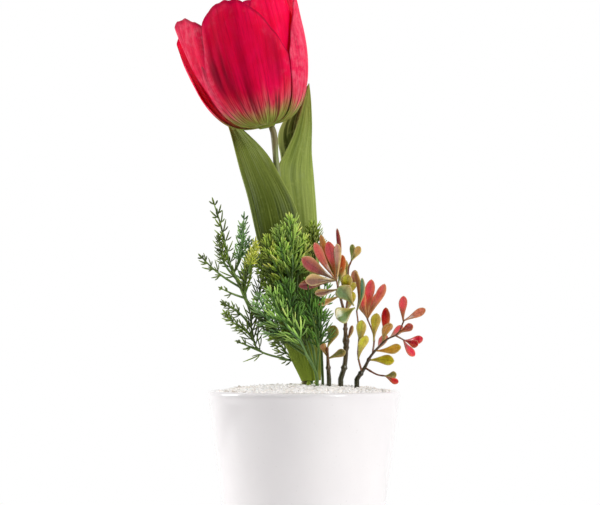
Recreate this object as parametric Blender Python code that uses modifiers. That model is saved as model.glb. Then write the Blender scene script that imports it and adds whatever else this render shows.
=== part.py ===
"""A red tulip with two broad leaves, sprigs of cut-leaved greenery and twigs of spoon-shaped
leaves, standing in white stone chips in a tapered white pot.

Metres, +Z up. The origin is the centre of the pot's flat base, and -Y is the front.
"""

import math
import random

import bmesh
import bpy
import numpy as np
from mathutils import Matrix, Vector, geometry

MM = 0.001
CLEARANCE = 0.3 * MM

# Pot
POT_HEIGHT = 90 * MM
POT_RIM_RADIUS = 50 * MM
POT_BASE_RADIUS = 37.7 * MM
POT_WALL = 3.5 * MM
POT_FLOOR = 5 * MM
POT_EDGE = 2 * MM
POT_SIDES = 44

# What fills the pot
GRAVEL_BOTTOM = 80 * MM
GRAVEL_EDGE_HEIGHT = 89.6 * MM
GRAVEL_RISE = 4.0 * MM
GRAVEL_GRAIN = 5.6 * MM
GRAVEL_RELIEF = 0.9 * MM
GRAVEL_SKIRT = 1.0 * MM
CHIP_COUNT = 24
CHIP_RADIUS = 2.3 * MM
CHIP_MARGIN = 3.5 * MM
CHIP_LIFT = 0.05
STEM_FOOT = 50 * MM
STEM_COLLAR = 96 * MM
TWIG_RADIUS = 0.75 * MM
TWIG_END = 0.6 * MM

# Where each stem stands: x, y and radius in millimetres
STEMS = {
    "tulip_stem": (0.5, 0.0, 1.65),
    "leaf_left": (2.4, -6.6, 1.2),
    "leaf_right": (6.0, 4.4, 1.2),
    "fern_left": (3.6, -2.6, 1.1),
    "fern_centre": (6.8, -9.6, 1.0),
    "fern_front": (6.6, -13.2, 1.2),
    "fern_back": (9.6, -3.8, 0.9),
    "fern_rear": (3.0, 9.0, 1.1),
    "spray_short": (12.8, -7.6, 1.2),
    "spray_middle": (18.8, -5.0, 1.4),
    "spray_right": (27.0, -7.0, 1.3),
}

# Bloom
BLOOM_BASE = Vector((-19.0, 0.0, 225.4)) * MM
BLOOM_TILT = math.radians(-13)
PETAL_THICKNESS = 0.8 * MM
PETAL_COLUMNS = 8
PETAL_ROWS = 7
PETAL_SHOULDER = 2.2
PETAL_SPREAD = 0.55
RECEPTACLE_RADIUS = 6.5 * MM
RECEPTACLE_HEIGHT = 5.8 * MM
STEM_OFFSET = 2.4 * MM

# Leaves
LEAF_THICKNESS = 0.8 * MM
LEAFLET_THICKNESS = 0.7 * MM
SPRAY_LEAF_THICKNESS = 0.8 * MM
SLAT_TURN = math.radians(42)
STALK_BENDS = 12
FROND_OVERLAP = 0.03
RIB_HALF_WIDTH = 0.6 * MM
SMOOTH_ANGLE = math.radians(35)


def empty_scene():
    """Remove every object of the scene."""
    for item in list(bpy.data.objects):
        bpy.data.objects.remove(item, do_unlink=True)


empty_scene()
PARTS = bpy.data.collections.new("potted_tulip")
CUTTERS = bpy.data.collections.new("cutters")
bpy.context.scene.collection.children.link(PARTS)
bpy.context.scene.collection.children.link(CUTTERS)


def material(name, colour, roughness, metallic=0.0):
    """A plain material with one colour."""
    made = bpy.data.materials.new(name)
    made.use_nodes = True
    shader = made.node_tree.nodes["Principled BSDF"]
    shader.inputs["Base Color"].default_value = (*colour, 1.0)
    shader.inputs["Roughness"].default_value = roughness
    shader.inputs["Metallic"].default_value = metallic
    return made


GLAZE = material("white_glaze", (0.86, 0.85, 0.86), 0.15)
FOAM = material("foam", (0.30, 0.34, 0.24), 0.95)
STONE = material("white_stone", (0.84, 0.82, 0.80), 0.80)
PETAL_RED = material("petal_red", (0.72, 0.01, 0.06), 0.55)
POLLEN = material("pollen", (0.12, 0.10, 0.05), 0.80)
STEM_GREEN = material("stem_green", (0.22, 0.22, 0.09), 0.50)
LEAF_GREEN = material("leaf_green", (0.10, 0.14, 0.04), 0.50)
LEAF_PALE = material("leaf_pale", (0.22, 0.30, 0.09), 0.50)
FERN_GREEN = material("fern_green", (0.06, 0.19, 0.04), 0.50)
TWIG_RED = material("twig_red", (0.45, 0.09, 0.05), 0.50)


def add_object(name, mesh, surface=None, collection=PARTS, smooth=True):
    """Put a mesh in the scene under a name."""
    made = bpy.data.objects.new(name, mesh)
    collection.objects.link(made)
    if surface:
        mesh.materials.clear()
        mesh.materials.append(surface)
    if smooth:
        mesh.shade_smooth()
        mesh.set_sharp_from_angle(angle=SMOOTH_ANGLE)
    return made


def settle(thing):
    """Replace an object by the mesh that its modifiers make."""
    depsgraph = bpy.context.evaluated_depsgraph_get()
    mesh = bpy.data.meshes.new_from_object(thing.evaluated_get(depsgraph))
    thing.modifiers.clear()
    thing.data = mesh
    return thing


def fuse(name, pieces, surface, solver="MANIFOLD"):
    """Join pieces that reach into each other into one body, with one union."""
    body = pieces[0]
    joined = bpy.data.collections.new(name + "_pieces")
    bpy.context.scene.collection.children.link(joined)
    for piece in pieces[1:]:
        joined.objects.link(piece)
    union = body.modifiers.new("union", "BOOLEAN")
    union.operation = "UNION"
    union.operand_type = "COLLECTION"
    union.collection = joined
    union.solver = solver
    settle(body)
    for piece in pieces[1:]:
        bpy.data.objects.remove(piece, do_unlink=True)
    bpy.data.collections.remove(joined)
    body.name = name
    body.data.materials.clear()
    body.data.materials.append(surface)
    body.data.shade_smooth()
    body.data.set_sharp_from_angle(angle=SMOOTH_ANGLE)
    return body


def rail(points, count):
    """Points along a smooth curve through the given ones (Catmull-Rom, in metres)."""
    knots = np.array(points, dtype=float) * MM
    padded = np.vstack([2 * knots[0] - knots[1], knots, 2 * knots[-1] - knots[-2]])
    place = np.linspace(0, len(knots) - 1, count)
    start = np.minimum(place.astype(int), len(knots) - 2)
    s = (place - start)[:, None]
    a, b, c, d = (padded[start + k] for k in range(4))
    return 0.5 * (2 * b + (c - a) * s + (2 * a - 5 * b + 4 * c - d) * s**2
                  + (3 * b - a - 3 * c + d) * s**3)


def tube(name, points, start_radius, end_radius, resolution=1):
    """A rod along points that tapers evenly, made as a bevelled curve and turned to a mesh."""
    curve = bpy.data.curves.new(name, "CURVE")
    curve.dimensions = "3D"
    curve.bevel_depth = start_radius
    curve.bevel_resolution = resolution
    curve.use_fill_caps = True
    spline = curve.splines.new("POLY")
    spline.points.add(len(points) - 1)
    taper = np.linspace(1.0, end_radius / start_radius, len(points))
    for point, place, scale in zip(spline.points, points, taper):
        point.co = (*place, 1.0)
        point.radius = scale
    rod = bpy.data.objects.new(name + "_curve", curve)
    bpy.context.scene.collection.objects.link(rod)
    depsgraph = bpy.context.evaluated_depsgraph_get()
    mesh = bpy.data.meshes.new_from_object(rod.evaluated_get(depsgraph))
    work = bmesh.new()
    work.from_mesh(mesh)
    bmesh.ops.remove_doubles(work, verts=work.verts, dist=0.00001)
    bmesh.ops.recalc_face_normals(work, faces=work.faces)
    work.to_mesh(mesh)
    work.free()
    made = add_object(name, mesh)
    made.matrix_world = rod.matrix_world
    bpy.data.objects.remove(rod, do_unlink=True)
    bpy.data.curves.remove(curve)
    return made


def sheet(name, vertices, triangles, thickness):
    """A thin blade: an open surface of triangles, given its thickness by Solidify."""
    mesh = bpy.data.meshes.new(name)
    mesh.from_pydata([tuple(v) for v in vertices], [], triangles)
    work = bmesh.new()
    work.from_mesh(mesh)
    bmesh.ops.recalc_face_normals(work, faces=work.faces)
    work.to_mesh(mesh)
    work.free()
    made = add_object(name, mesh)
    solidify = made.modifiers.new("thickness", "SOLIDIFY")
    solidify.thickness = thickness
    solidify.offset = 0.0
    return settle(made)


def grid_sheet(name, surface, columns, rows, thickness):
    """A thin blade from a grid whose points are placed by surface(u, v), u -1..1 and v 0..1."""
    work = bmesh.new()
    bmesh.ops.create_grid(work, x_segments=columns, y_segments=rows, size=1.0)
    bmesh.ops.triangulate(work, faces=work.faces, quad_method="SHORT_EDGE")
    for vertex in work.verts:
        vertex.co = surface(vertex.co.x, (vertex.co.y + 1) / 2)
    mesh = bpy.data.meshes.new(name)
    work.to_mesh(mesh)
    work.free()
    made = add_object(name, mesh)
    solidify = made.modifiers.new("thickness", "SOLIDIFY")
    solidify.thickness = thickness
    solidify.offset = 0.0
    return settle(made)


def footed(name, points):
    """The path of a stem's first branch: from the top of its straight foot through the points."""
    x, y, _ = STEMS[name]
    return [(x, y, STEM_COLLAR / MM), *points]


def foot(name):
    """The straight foot of a stem, from the foam to just over the gravel."""
    x, y, radius = (value * MM for value in STEMS[name])
    points = [(x, y, STEM_FOOT), (x, y, STEM_COLLAR + CLEARANCE)]
    return tube(name + "_foot", points, radius, radius)


# The pot and what fills it

def outer_radius(z):
    """Outer radius of the pot at a height."""
    return POT_BASE_RADIUS + (POT_RIM_RADIUS - POT_BASE_RADIUS) * z / POT_HEIGHT


def wall_radius(z):
    """Inner radius of the pot at a height."""
    return outer_radius(z) - POT_WALL


def arc(centre_x, centre_z, radius, start, end, count):
    """Points of an arc in the profile's plane, angles in degrees."""
    angles = np.radians(np.linspace(start, end, count))
    return [(centre_x + radius * math.cos(a), centre_z + radius * math.sin(a)) for a in angles]


def make_pot():
    """The pot's turned wall: a straight taper, a rounded rim and a flat base."""
    rim = POT_WALL / 2
    profile = [(0, POT_FLOOR), (wall_radius(POT_FLOOR) - POT_EDGE, POT_FLOOR)]
    profile.append((wall_radius(POT_FLOOR + POT_EDGE), POT_FLOOR + POT_EDGE))
    profile += arc(POT_RIM_RADIUS - rim, POT_HEIGHT - rim, rim, 180, 0, 5)
    profile += arc(outer_radius(POT_EDGE) - POT_EDGE, POT_EDGE, POT_EDGE, 0, -90, 3)
    profile.append((0, 0))
    mesh = bpy.data.meshes.new("pot")
    edges = [(i, i + 1) for i in range(len(profile) - 1)]
    mesh.from_pydata([(x, 0, z) for x, z in profile], edges, [])
    pot = add_object("pot", mesh, GLAZE, smooth=False)
    screw = pot.modifiers.new("turn", "SCREW")
    screw.steps = POT_SIDES
    screw.render_steps = POT_SIDES
    screw.use_merge_vertices = True
    screw.merge_threshold = 0.00005
    screw.use_smooth_shade = True
    settle(pot)
    pot.data.set_sharp_from_angle(angle=SMOOTH_ANGLE)
    return pot


def stem_cutters(name, bottom, top):
    """One cylinder for each stem, a little wider than it, joined as the cutter of a block."""
    work = bmesh.new()
    for x, y, radius in STEMS.values():
        centre = Matrix.Translation((x * MM, y * MM, (bottom + top) / 2))
        wide = (radius * MM + CLEARANCE) / math.cos(math.pi / 6)
        bmesh.ops.create_cone(work, cap_ends=True, segments=6, radius1=wide, radius2=wide,
                              depth=top - bottom, matrix=centre)
    mesh = bpy.data.meshes.new(name)
    work.to_mesh(mesh)
    work.free()
    cutter = add_object(name, mesh, collection=CUTTERS)
    cutter.hide_render = True
    cutter.display_type = "WIRE"
    return cutter


def bore(block, bottom, top):
    """Cut the stems' holes into a block."""
    cutter = stem_cutters(block.name + "_holes", bottom, top)
    holes = block.modifiers.new("holes", "BOOLEAN")
    holes.operation = "DIFFERENCE"
    holes.object = cutter
    holes.solver = "EXACT"
    return settle(block)


def make_foam_block():
    """The block that holds the stems, tapered like the pot's inside."""
    bottom = POT_FLOOR + CLEARANCE
    top = GRAVEL_BOTTOM - CLEARANCE
    work = bmesh.new()
    centre = Matrix.Translation((0, 0, (bottom + top) / 2))
    bmesh.ops.create_cone(work, cap_ends=True, segments=POT_SIDES, depth=top - bottom, matrix=centre,
                          radius1=wall_radius(bottom) - POT_EDGE - CLEARANCE,
                          radius2=wall_radius(top) - 2 * CLEARANCE)
    mesh = bpy.data.meshes.new("foam_block")
    work.to_mesh(mesh)
    work.free()
    block = add_object("foam_block", mesh, FOAM)
    return bore(block, STEM_FOOT - CLEARANCE, top + 5 * MM)


def gravel_height(x, y):
    """Height of the heaped gravel: a low dome."""
    spread = (x * x + y * y) / wall_radius(POT_HEIGHT) ** 2
    return GRAVEL_EDGE_HEIGHT + GRAVEL_RISE * (1 - spread)


def gravel_points(rng, radius):
    """A six-sided lattice of places inside a circle, each moved a little at random."""
    places = []
    row_step = GRAVEL_GRAIN * math.sqrt(3) / 2
    rows = int(radius / row_step) + 1
    for row in range(-rows, rows + 1):
        shift = GRAVEL_GRAIN / 2 * (row % 2)
        for column in range(-rows - 1, rows + 2):
            x = column * GRAVEL_GRAIN + shift + rng.uniform(-1, 1) * GRAVEL_GRAIN * 0.2
            y = row * row_step + rng.uniform(-1, 1) * GRAVEL_GRAIN * 0.2
            if math.hypot(x, y) < radius - GRAVEL_GRAIN * 0.45:
                places.append(Vector((x, y)))
    return places


def gravel_bed(rng):
    """The gravel layer: a tapered disc whose top is rough all over."""
    top_radius = wall_radius(POT_HEIGHT - POT_WALL) - 2 * CLEARANCE
    bottom_radius = wall_radius(GRAVEL_BOTTOM) - 2 * CLEARANCE
    turns = [2 * math.pi * k / POT_SIDES for k in range(POT_SIDES)]
    ring = [Vector((top_radius * math.cos(a), top_radius * math.sin(a))) for a in turns]
    flat = ring + gravel_points(rng, top_radius)
    outline = [list(range(POT_SIDES))]
    points, _, faces, _, _, _ = geometry.delaunay_2d_cdt(flat, [], outline, 1, 1e-7)
    vertices = []
    for index, point in enumerate(points):
        relief = rng.uniform(-1, 1) * GRAVEL_RELIEF if index >= POT_SIDES else -GRAVEL_SKIRT
        vertices.append((point.x, point.y, gravel_height(point.x, point.y) + relief))
    base = len(vertices)
    for a in turns:
        vertices.append((bottom_radius * math.cos(a), bottom_radius * math.sin(a), GRAVEL_BOTTOM))
    faces = [tuple(face) for face in faces]
    for k in range(POT_SIDES):
        following = (k + 1) % POT_SIDES
        faces.append((k, base + k, base + following, following))
    faces.append(tuple(base + k for k in reversed(range(POT_SIDES))))
    mesh = bpy.data.meshes.new("gravel")
    mesh.from_pydata(vertices, [], faces)
    work = bmesh.new()
    work.from_mesh(mesh)
    bmesh.ops.recalc_face_normals(work, faces=work.faces)
    work.to_mesh(mesh)
    work.free()
    return add_object("gravel", mesh, STONE, smooth=False)


def stem_is_near(x, y, reach):
    """Whether a place is within reach of a stem's hole."""
    for stem_x, stem_y, radius in STEMS.values():
        if math.hypot(x - stem_x * MM, y - stem_y * MM) < radius * MM + reach:
            return True
    return False


def gravel_chips(rng):
    """Angular chips that stand out of the bed, larger than life, clear of the stems."""
    chips = []
    reach = wall_radius(POT_HEIGHT - POT_WALL) - CHIP_MARGIN
    golden = math.pi * (3 - math.sqrt(5))
    for k in range(CHIP_COUNT):
        radius = reach * math.sqrt((k + 0.5) / CHIP_COUNT)
        x = radius * math.cos(k * golden)
        y = radius * math.sin(k * golden)
        size = CHIP_RADIUS * rng.uniform(0.85, 1.25)
        turn = [rng.uniform(0, math.tau) for _ in range(3)]
        squash = [rng.uniform(0.75, 1.15) for _ in range(3)]
        if stem_is_near(x, y, size * 1.25 + 0.6 * MM):
            continue
        work = bmesh.new()
        bmesh.ops.create_icosphere(work, subdivisions=1, radius=size)
        bmesh.ops.scale(work, vec=squash, verts=work.verts)
        spin = Matrix.Rotation(turn[0], 3, "X") @ Matrix.Rotation(turn[1], 3, "Y")
        bmesh.ops.rotate(work, cent=(0, 0, 0), matrix=spin @ Matrix.Rotation(turn[2], 3, "Z"),
                         verts=work.verts)
        place = (x, y, gravel_height(x, y) + CHIP_LIFT * size)
        bmesh.ops.translate(work, vec=place, verts=work.verts)
        mesh = bpy.data.meshes.new("chip")
        work.to_mesh(mesh)
        work.free()
        chips.append(add_object("chip", mesh))
    return chips


def make_gravel():
    """The bed and its chips in one body, with a hole for each stem."""
    rng = random.Random(11)
    pieces = [gravel_bed(rng), *gravel_chips(rng)]
    gravel = fuse("gravel", pieces, STONE)
    gravel.data.shade_flat()
    return bore(gravel, GRAVEL_BOTTOM - 5 * MM, POT_HEIGHT + 20 * MM)


# The tulip

BLOOM_FRAME = Matrix.Translation(BLOOM_BASE) @ Matrix.Rotation(BLOOM_TILT, 4, "Y")

# Each petal: middle direction and half width in degrees, height and tip radius in millimetres,
# how far it lies inside the outer layer, how much its top opens towards each side, how far its
# two shoulders drop, and the share of its width that it has at its foot
PETALS = {
    "front": (-105.5, 55.5, 65, 30.0, 0.0, (0.0, 0.0), (0.45, 0.32), 0.75),
    "right": (15.0, 62.0, 72, 27.5, 0.0, (0.0, 0.0), (0.36, 0.45), 0.32),
    "left": (145.0, 45.0, 61, 31.0, 0.0, (7.0, 7.0), (0.42, 0.36), 0.70),
    "inner_right": (-47.0, 47.0, 75, 28.5, 2.6, (0.0, 0.0), (0.26, 0.42), 0.62),
    "inner_back": (80.0, 46.0, 70, 28.0, 2.6, (0.0, 0.0), (0.42, 0.42), 0.62),
    "inner_left": (195.0, 47.0, 64, 31.0, 2.6, (5.5, 0.0), (0.50, 0.20), 0.62),
}


def petal_point(petal, u, v):
    """A point of a petal, in the bloom's own frame.

    The cup's side is a cubic curve from the middle of the base, out and up to the tip. It is moved
    inwards along its normal for the inner layer. A petal is the stretch of that cup between two
    directions; its top falls away from the middle to the shoulders.
    """
    middle, half_width, height, tip_radius, inset, openings, drops, foot_share = petal
    drop = drops[0] if u < 0 else drops[1]
    top = 1 - drop * abs(u) ** PETAL_SHOULDER
    t = max(0.0, v) * top
    corners = np.array([(2.5, 2.0), (27.0, -3.0), (34.0, 0.48 * height), (tip_radius, height)])
    weights = np.array([(1 - t) ** 3, 3 * (1 - t) ** 2 * t, 3 * (1 - t) * t * t, t**3])
    radius, rise = weights @ corners
    slope = np.array([(1 - t) ** 2, 2 * (1 - t) * t, t * t]) @ np.diff(corners, axis=0)
    normal = np.array([-slope[1], slope[0]]) / np.hypot(*slope)
    radius += normal[0] * inset
    rise += normal[1] * inset
    side = min(1.0, max(0.0, (u + 0.2) / 1.2))
    opening = openings[0] * (1 - side) + openings[1] * side
    radius += opening * t**2.5 - 1.2 * u * u * t
    width = half_width * (foot_share + (1 - foot_share) * min(1.0, t / PETAL_SPREAD))
    angle = math.radians(middle + width * u)
    return Vector((radius * math.cos(angle), radius * math.sin(angle), rise)) * MM


def make_bloom():
    """Six petals in two layers, joined at their green base."""
    work = bmesh.new()
    centre = Matrix.Translation((0, 0, RECEPTACLE_HEIGHT / 2))
    bmesh.ops.create_cone(work, cap_ends=True, segments=10, radius1=RECEPTACLE_RADIUS * 0.65,
                          radius2=RECEPTACLE_RADIUS, depth=RECEPTACLE_HEIGHT,
                          matrix=BLOOM_FRAME @ centre)
    mesh = bpy.data.meshes.new("receptacle")
    work.to_mesh(mesh)
    work.free()
    pieces = [add_object("receptacle", mesh)]
    for name, petal in PETALS.items():
        def surface(u, v, petal=petal):
            return BLOOM_FRAME @ petal_point(petal, u, v)
        pieces.append(grid_sheet("petal_" + name, surface, PETAL_COLUMNS, PETAL_ROWS, PETAL_THICKNESS))
    return fuse("tulip_bloom", pieces, PETAL_RED)


def make_flower_centre():
    """The pistil with its three-part head, and six stamens round it on one small base."""
    bottom = RECEPTACLE_HEIGHT + CLEARANCE
    pieces = []

    def rod(name, points, start, end, resolution=0):
        path = [BLOOM_FRAME @ (Vector(p) * MM) for p in points]
        pieces.append(tube(name, path, start * MM, end * MM, resolution))

    base = bottom / MM
    rod("pistil", [(0, 0, base), (0, 0, base + 3), (0, 0, base + 21)], 3.2, 2.4, 1)
    for k in range(3):
        a = math.tau * k / 3
        x, y = math.cos(a), math.sin(a)
        rod("lobe", [(0, 0, base + 19), (2.6 * x, 2.6 * y, base + 22.5)], 1.8, 1.2)
    for k in range(6):
        a = math.tau * (k + 0.5) / 6
        x, y = math.cos(a), math.sin(a)
        rod("filament", [(x, y, base + 1.4), (6 * x, 6 * y, base + 9)], 0.7, 0.6)
        rod("anther", [(5.9 * x, 5.9 * y, base + 8.4), (7.4 * x, 7.4 * y, base + 19)], 1.2, 0.9)
    return fuse("flower_centre", pieces, POLLEN)


def make_tulip_stem():
    """The flower's thin stem, from the foam to the bloom's base."""
    top = BLOOM_FRAME @ Vector((STEM_OFFSET, 0, -CLEARANCE))
    lower = BLOOM_FRAME @ Vector((STEM_OFFSET, 0, -6 * MM))
    x, y, radius = STEMS["tulip_stem"]
    bend = [(x, y, STEM_COLLAR / MM), (x - 5.2, y, 132), (x - 13.9, y, 199), lower / MM, top / MM]
    points = [Vector((x * MM, y * MM, STEM_FOOT)), *[Vector(p) for p in rail(bend, 9)]]
    stem = tube("tulip_stem", points, radius * MM, radius * MM)
    stem.data.materials.append(STEM_GREEN)
    return stem


# Each broad leaf: its two margins and the line between them, from the base to the tip
LEAF_RAILS = {
    "leaf_left": (
        [(-1.4, -5.6, 95.2), (-8.6, -5.8, 112), (-17.8, -6.0, 141), (-24.4, -5.0, 168), (-29.1, -2.0, 189),
         (-33.7, 4.5, 206), (-37.7, 13.0, 221), (-41.4, 21.5, 234)],
        [(2.4, -7.2, 95.2), (-1.5, -8.2, 112), (-7.0, -8.8, 139), (-11.6, -8.8, 164), (-16.8, -7.0, 187),
         (-23.6, 0.0, 204), (-31.0, 10.0, 219), (-41.2, 21.3, 234.2)],
        [(6.2, -6.4, 95.2), (5.6, -6.7, 112), (4.0, -6.6, 137), (1.8, -6.4, 160), (-4.2, -5.0, 184),
         (-12.8, -3.8, 201), (-22.0, 1.6, 215), (-41.0, 21.1, 234.4)],
    ),
    "leaf_right": (
        [(3.8, 3.2, 95.2), (0.5, 2.9, 116), (-4.5, 3.2, 148), (-9.8, 3.6, 180), (-13.4, 5.0, 203),
         (-10.0, 10.0, 213), (-4.8, 16.0, 225), (2.6, 26.0, 250.6)],
        [(7.0, 3.6, 95.2), (7.2, 5.0, 116), (7.2, 7.0, 148), (6.2, 9.0, 180), (4.8, 12.0, 199),
         (3.6, 16.0, 214), (3.4, 20.0, 230), (2.8, 26.4, 250.8)],
        [(6.4, 6.0, 95.2), (4.6, 9.6, 116), (0.5, 14.0, 148), (-4.5, 17.6, 180), (-9.5, 20.0, 197),
         (-12.2, 23.0, 212), (-12.6, 25.6, 227), (2.7, 27.0, 251.0)],
    ),
}


def make_broad_leaf(name, surface_material):
    """A tulip leaf: a channel-shaped blade between its margins, on a stalk in the gravel."""
    rows = 12
    near, middle, far = (rail(points, rows + 1) for points in LEAF_RAILS[name])

    def surface(u, v):
        row = int(round(v * rows))
        weights = (u * (u - 1) / 2, 1 - u * u, u * (u + 1) / 2)
        return Vector(weights[0] * near[row] + weights[1] * middle[row] + weights[2] * far[row])

    blade = grid_sheet(name + "_blade", surface, 4, rows, LEAF_THICKNESS)
    low = (near[0] + far[0]) / 2 * 0.4 + middle[0] * 0.6
    high = middle[1]
    x, y, radius = (value * MM for value in STEMS[name])
    stalk = tube(name + "_stalk", [(x, y, STEM_FOOT), (x, y, 94 * MM), tuple(low), tuple(high)],
                 radius, radius * 0.6)
    return fuse(name, [stalk, blade], surface_material)


# Sprigs of cut foliage: each has branches, and each branch has its path in millimetres, how
# many pairs of leaflets it carries, their length, and the share of the path that is bare. The
# first branch goes on from the foot
SPRIGS = {
    "fern_left": [
        ([(0.5, -3.2, 102), (-7, -3.4, 111), (-17, -7, 122), (-26.8, -10, 131.5), (-33, -10.5, 144.4),
          (-38.0, -10, 155), (-40.7, -9, 166), (-43, -7, 176), (-46.2, -5, 186)], 5, 8.0, 0.58),
        ([(-32.6, -10.4, 143.0), (-40.7, -11, 148), (-46.9, -12, 153), (-51.5, -12.5, 157.5)], 2, 6.5, 0.36),
        ([(-30.2, -10.2, 137.5), (-36, -12.5, 139.5), (-41.5, -14, 142)], 1, 5.0, 0.45),
        ([(-36.0, -10.2, 150.5), (-32.6, -5, 158), (-31.4, -2, 168), (-31.0, 0, 178)], 3, 7.5, 0.27),
        ([(-30.6, -10.3, 138.5), (-27.5, -12, 148), (-26.5, -12.5, 156), (-25.0, -12.5, 165)], 2, 7.0, 0.42),
        ([(-1.2, -3.2, 104), (-6.5, -3.6, 105.6), (-10, -5.2, 106.4), (-22.4, -10.2, 110.4),
          (-26.2, -10.5, 117.5), (-27, -10.5, 125), (-26.4, -10.5, 132)], 5, 11.0, 0.46),
        ([(-21.8, -10.1, 110.2), (-27, -11, 112.4), (-32.4, -12, 114.8)], 1, 5.0, 0.35),
    ],
    "fern_centre": [
        ([(4.4, -10.8, 112), (-1.5, -12.0, 128), (-6.0, -14.5, 144), (-5.7, -15.5, 155), (-6.7, -16, 165),
          (-7.3, -16, 175)], 5, 11.5, 0.55),
        ([(-3.2, -12.8, 133), (-10, -14.5, 145), (-16.0, -15.5, 157), (-18.5, -15, 166)], 4, 8.5, 0.36),
        ([(-1.8, -12.1, 128.6), (-9, -14, 134), (-18, -14, 142)], 2, 9.0, 0.4),
    ],
    "fern_front": [
        ([(5.4, -15, 101), (1.6, -17.5, 108), (-1.8, -19.5, 115), (-8.4, -21.5, 123), (-12.6, -22, 130),
          (-16, -22, 138)], 5, 12.0, 0.46),
        ([(0.2, -18.4, 110.8), (-9, -19.0, 117), (-18, -19.5, 126), (-22.0, -19.5, 136)], 3, 10.0, 0.42),
        ([(6.3, -13.4, 98.4), (7.4, -15.5, 112), (7.2, -16.2, 123), (6.8, -16.2, 134)], 5, 11.0, 0.30),
    ],
    "fern_back": [
        ([(8.8, -5.2, 116), (7.8, -8.6, 140), (5.6, -11.2, 158), (4.2, -11.4, 173)], 4, 9.0, 0.74),
    ],
    "fern_rear": [
        ([(-2, 13, 112), (-11, 19, 138), (-15, 23, 157)], 4, 10.0, 0.42),
        ([(3.3, 9.6, 98), (5, 16, 112), (9, 22, 130), (11, 25, 144)], 3, 9.0, 0.35),
        ([(2.4, 9.8, 99), (-6, 16, 106), (-15, 20, 116)], 2, 8.0, 0.42),
    ],
}


def leaflet(vertices, triangles, low, high, along, across, lift, length, lobes):
    """A cut leaflet on the rib's edge from low to high: its own slim rib, one or two pointed
    lobes on each side of it and one at its end, added to a frond's points and triangles."""
    rib = 0.45 * MM
    root = (vertices[low] + vertices[high]) / 2
    steps = (0.0, 0.32, 0.62) if lobes == 2 else (0.0, 0.42)

    def place(s, sideways):
        return root + along * (s * length) + across * sideways + lift * (0.20 * length * s * s)

    rows = [(low, high)]
    for s in steps[1:]:
        vertices.append(place(s, -rib))
        vertices.append(place(s, rib))
        rows.append((len(vertices) - 2, len(vertices) - 1))
    for k in range(lobes):
        (a, b), (c, d) = rows[k], rows[k + 1]
        triangles += [(a, b, c), (b, d, c)]
        reach = rib + (0.40 - 0.10 * k) * length
        for side, near, distant in ((-1, a, c), (1, b, d)):
            vertices.append(place(steps[k] + 0.40, side * reach))
            triangles.append((near, distant, len(vertices) - 1))
    vertices.append(place(1.0, 0.0))
    triangles.append((*rows[-1], len(vertices) - 1))


def frond(path, pairs, length, start, roll):
    """A frond: an arched rib with pairs of cut leaflets and one at its tip, as one thin sheet.

    The leaflets on a side are turned alike, as slats are, so that they lie over each other.
    """
    fine = rail(path, 201)
    vertices = []
    triangles = []

    def frame(t):
        """The place, the direction and the two cross directions at a share of the path."""
        here = min(int(t * 200), 199)
        tangent = Vector(fine[here + 1] - fine[here]).normalized()
        side = tangent.cross(Vector((0, -1, 0))).normalized()
        side.rotate(Matrix.Rotation(roll, 3, tangent))
        return Vector(fine[here]), tangent, side, side.cross(tangent)

    half_root = 0.8 * MM / math.dist(fine[0], fine[-1])
    middles = [start + (0.97 - start) * (k + 0.5) / (pairs + 0.5) for k in range(pairs)]
    stations = [start] + [m + shift for m in middles for shift in (-half_root, half_root)] + [0.985]
    for t in stations:
        place, _, side, _ = frame(t)
        vertices += [place - side * RIB_HALF_WIDTH, place + side * RIB_HALF_WIDTH]
    for k in range(len(stations) - 1):
        a, b, c, d = 2 * k, 2 * k + 1, 2 * k + 2, 2 * k + 3
        triangles += [(a, b, c), (b, d, c)]
    for k, middle in enumerate(middles):
        share = (middle - start) / (1 - start)
        _, tangent, side, normal = frame(middle)
        spread = math.radians(58 - 22 * share)
        size = length * MM * (1 - 0.35 * share)
        for sign in (-1, 1):
            along = tangent * math.cos(spread) + side * (sign * math.sin(spread))
            across = tangent * math.sin(spread) - side * (sign * math.cos(spread))
            slat = across * math.cos(SLAT_TURN) + normal * math.sin(SLAT_TURN)
            lift = (tangent + normal * 0.4).normalized()
            low = 2 * (2 * k + 1) + (0 if sign < 0 else 1)
            lobes = 2 if share < 0.45 else 1
            leaflet(vertices, triangles, low, low + 2, along, slat, lift, size, lobes)
    _, tangent, side, normal = frame(0.985)
    end = 2 * (len(stations) - 1)
    leaflet(vertices, triangles, end, end + 1, tangent, side, normal, length * MM * 0.62, 1)
    return vertices, triangles


def make_sprig(name):
    """A sprig: a foot, and for each branch a tapered stalk and its frond, in one body."""
    rng = random.Random(name)
    pieces = [foot(name)]
    first_radius = STEMS[name][2] * MM
    for order, (path, pairs, length, start) in enumerate(SPRIGS[name]):
        path = footed(name, path) if order == 0 else path
        bends = max(3, int(STALK_BENDS * start))
        stalk = rail(path, 201)[np.linspace(0, 200 * start, bends).astype(int)]
        radius = first_radius if order == 0 else TWIG_RADIUS
        pieces.append(tube(name + "_stalk", stalk, radius, TWIG_END, resolution=0))
        roll = math.radians(rng.uniform(-12, 12))
        vertices, triangles = frond(path, pairs, length, start - FROND_OVERLAP, roll)
        pieces.append(sheet(name + "_frond", vertices, triangles, LEAFLET_THICKNESS))
    return fuse(name, pieces, FERN_GREEN)


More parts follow.
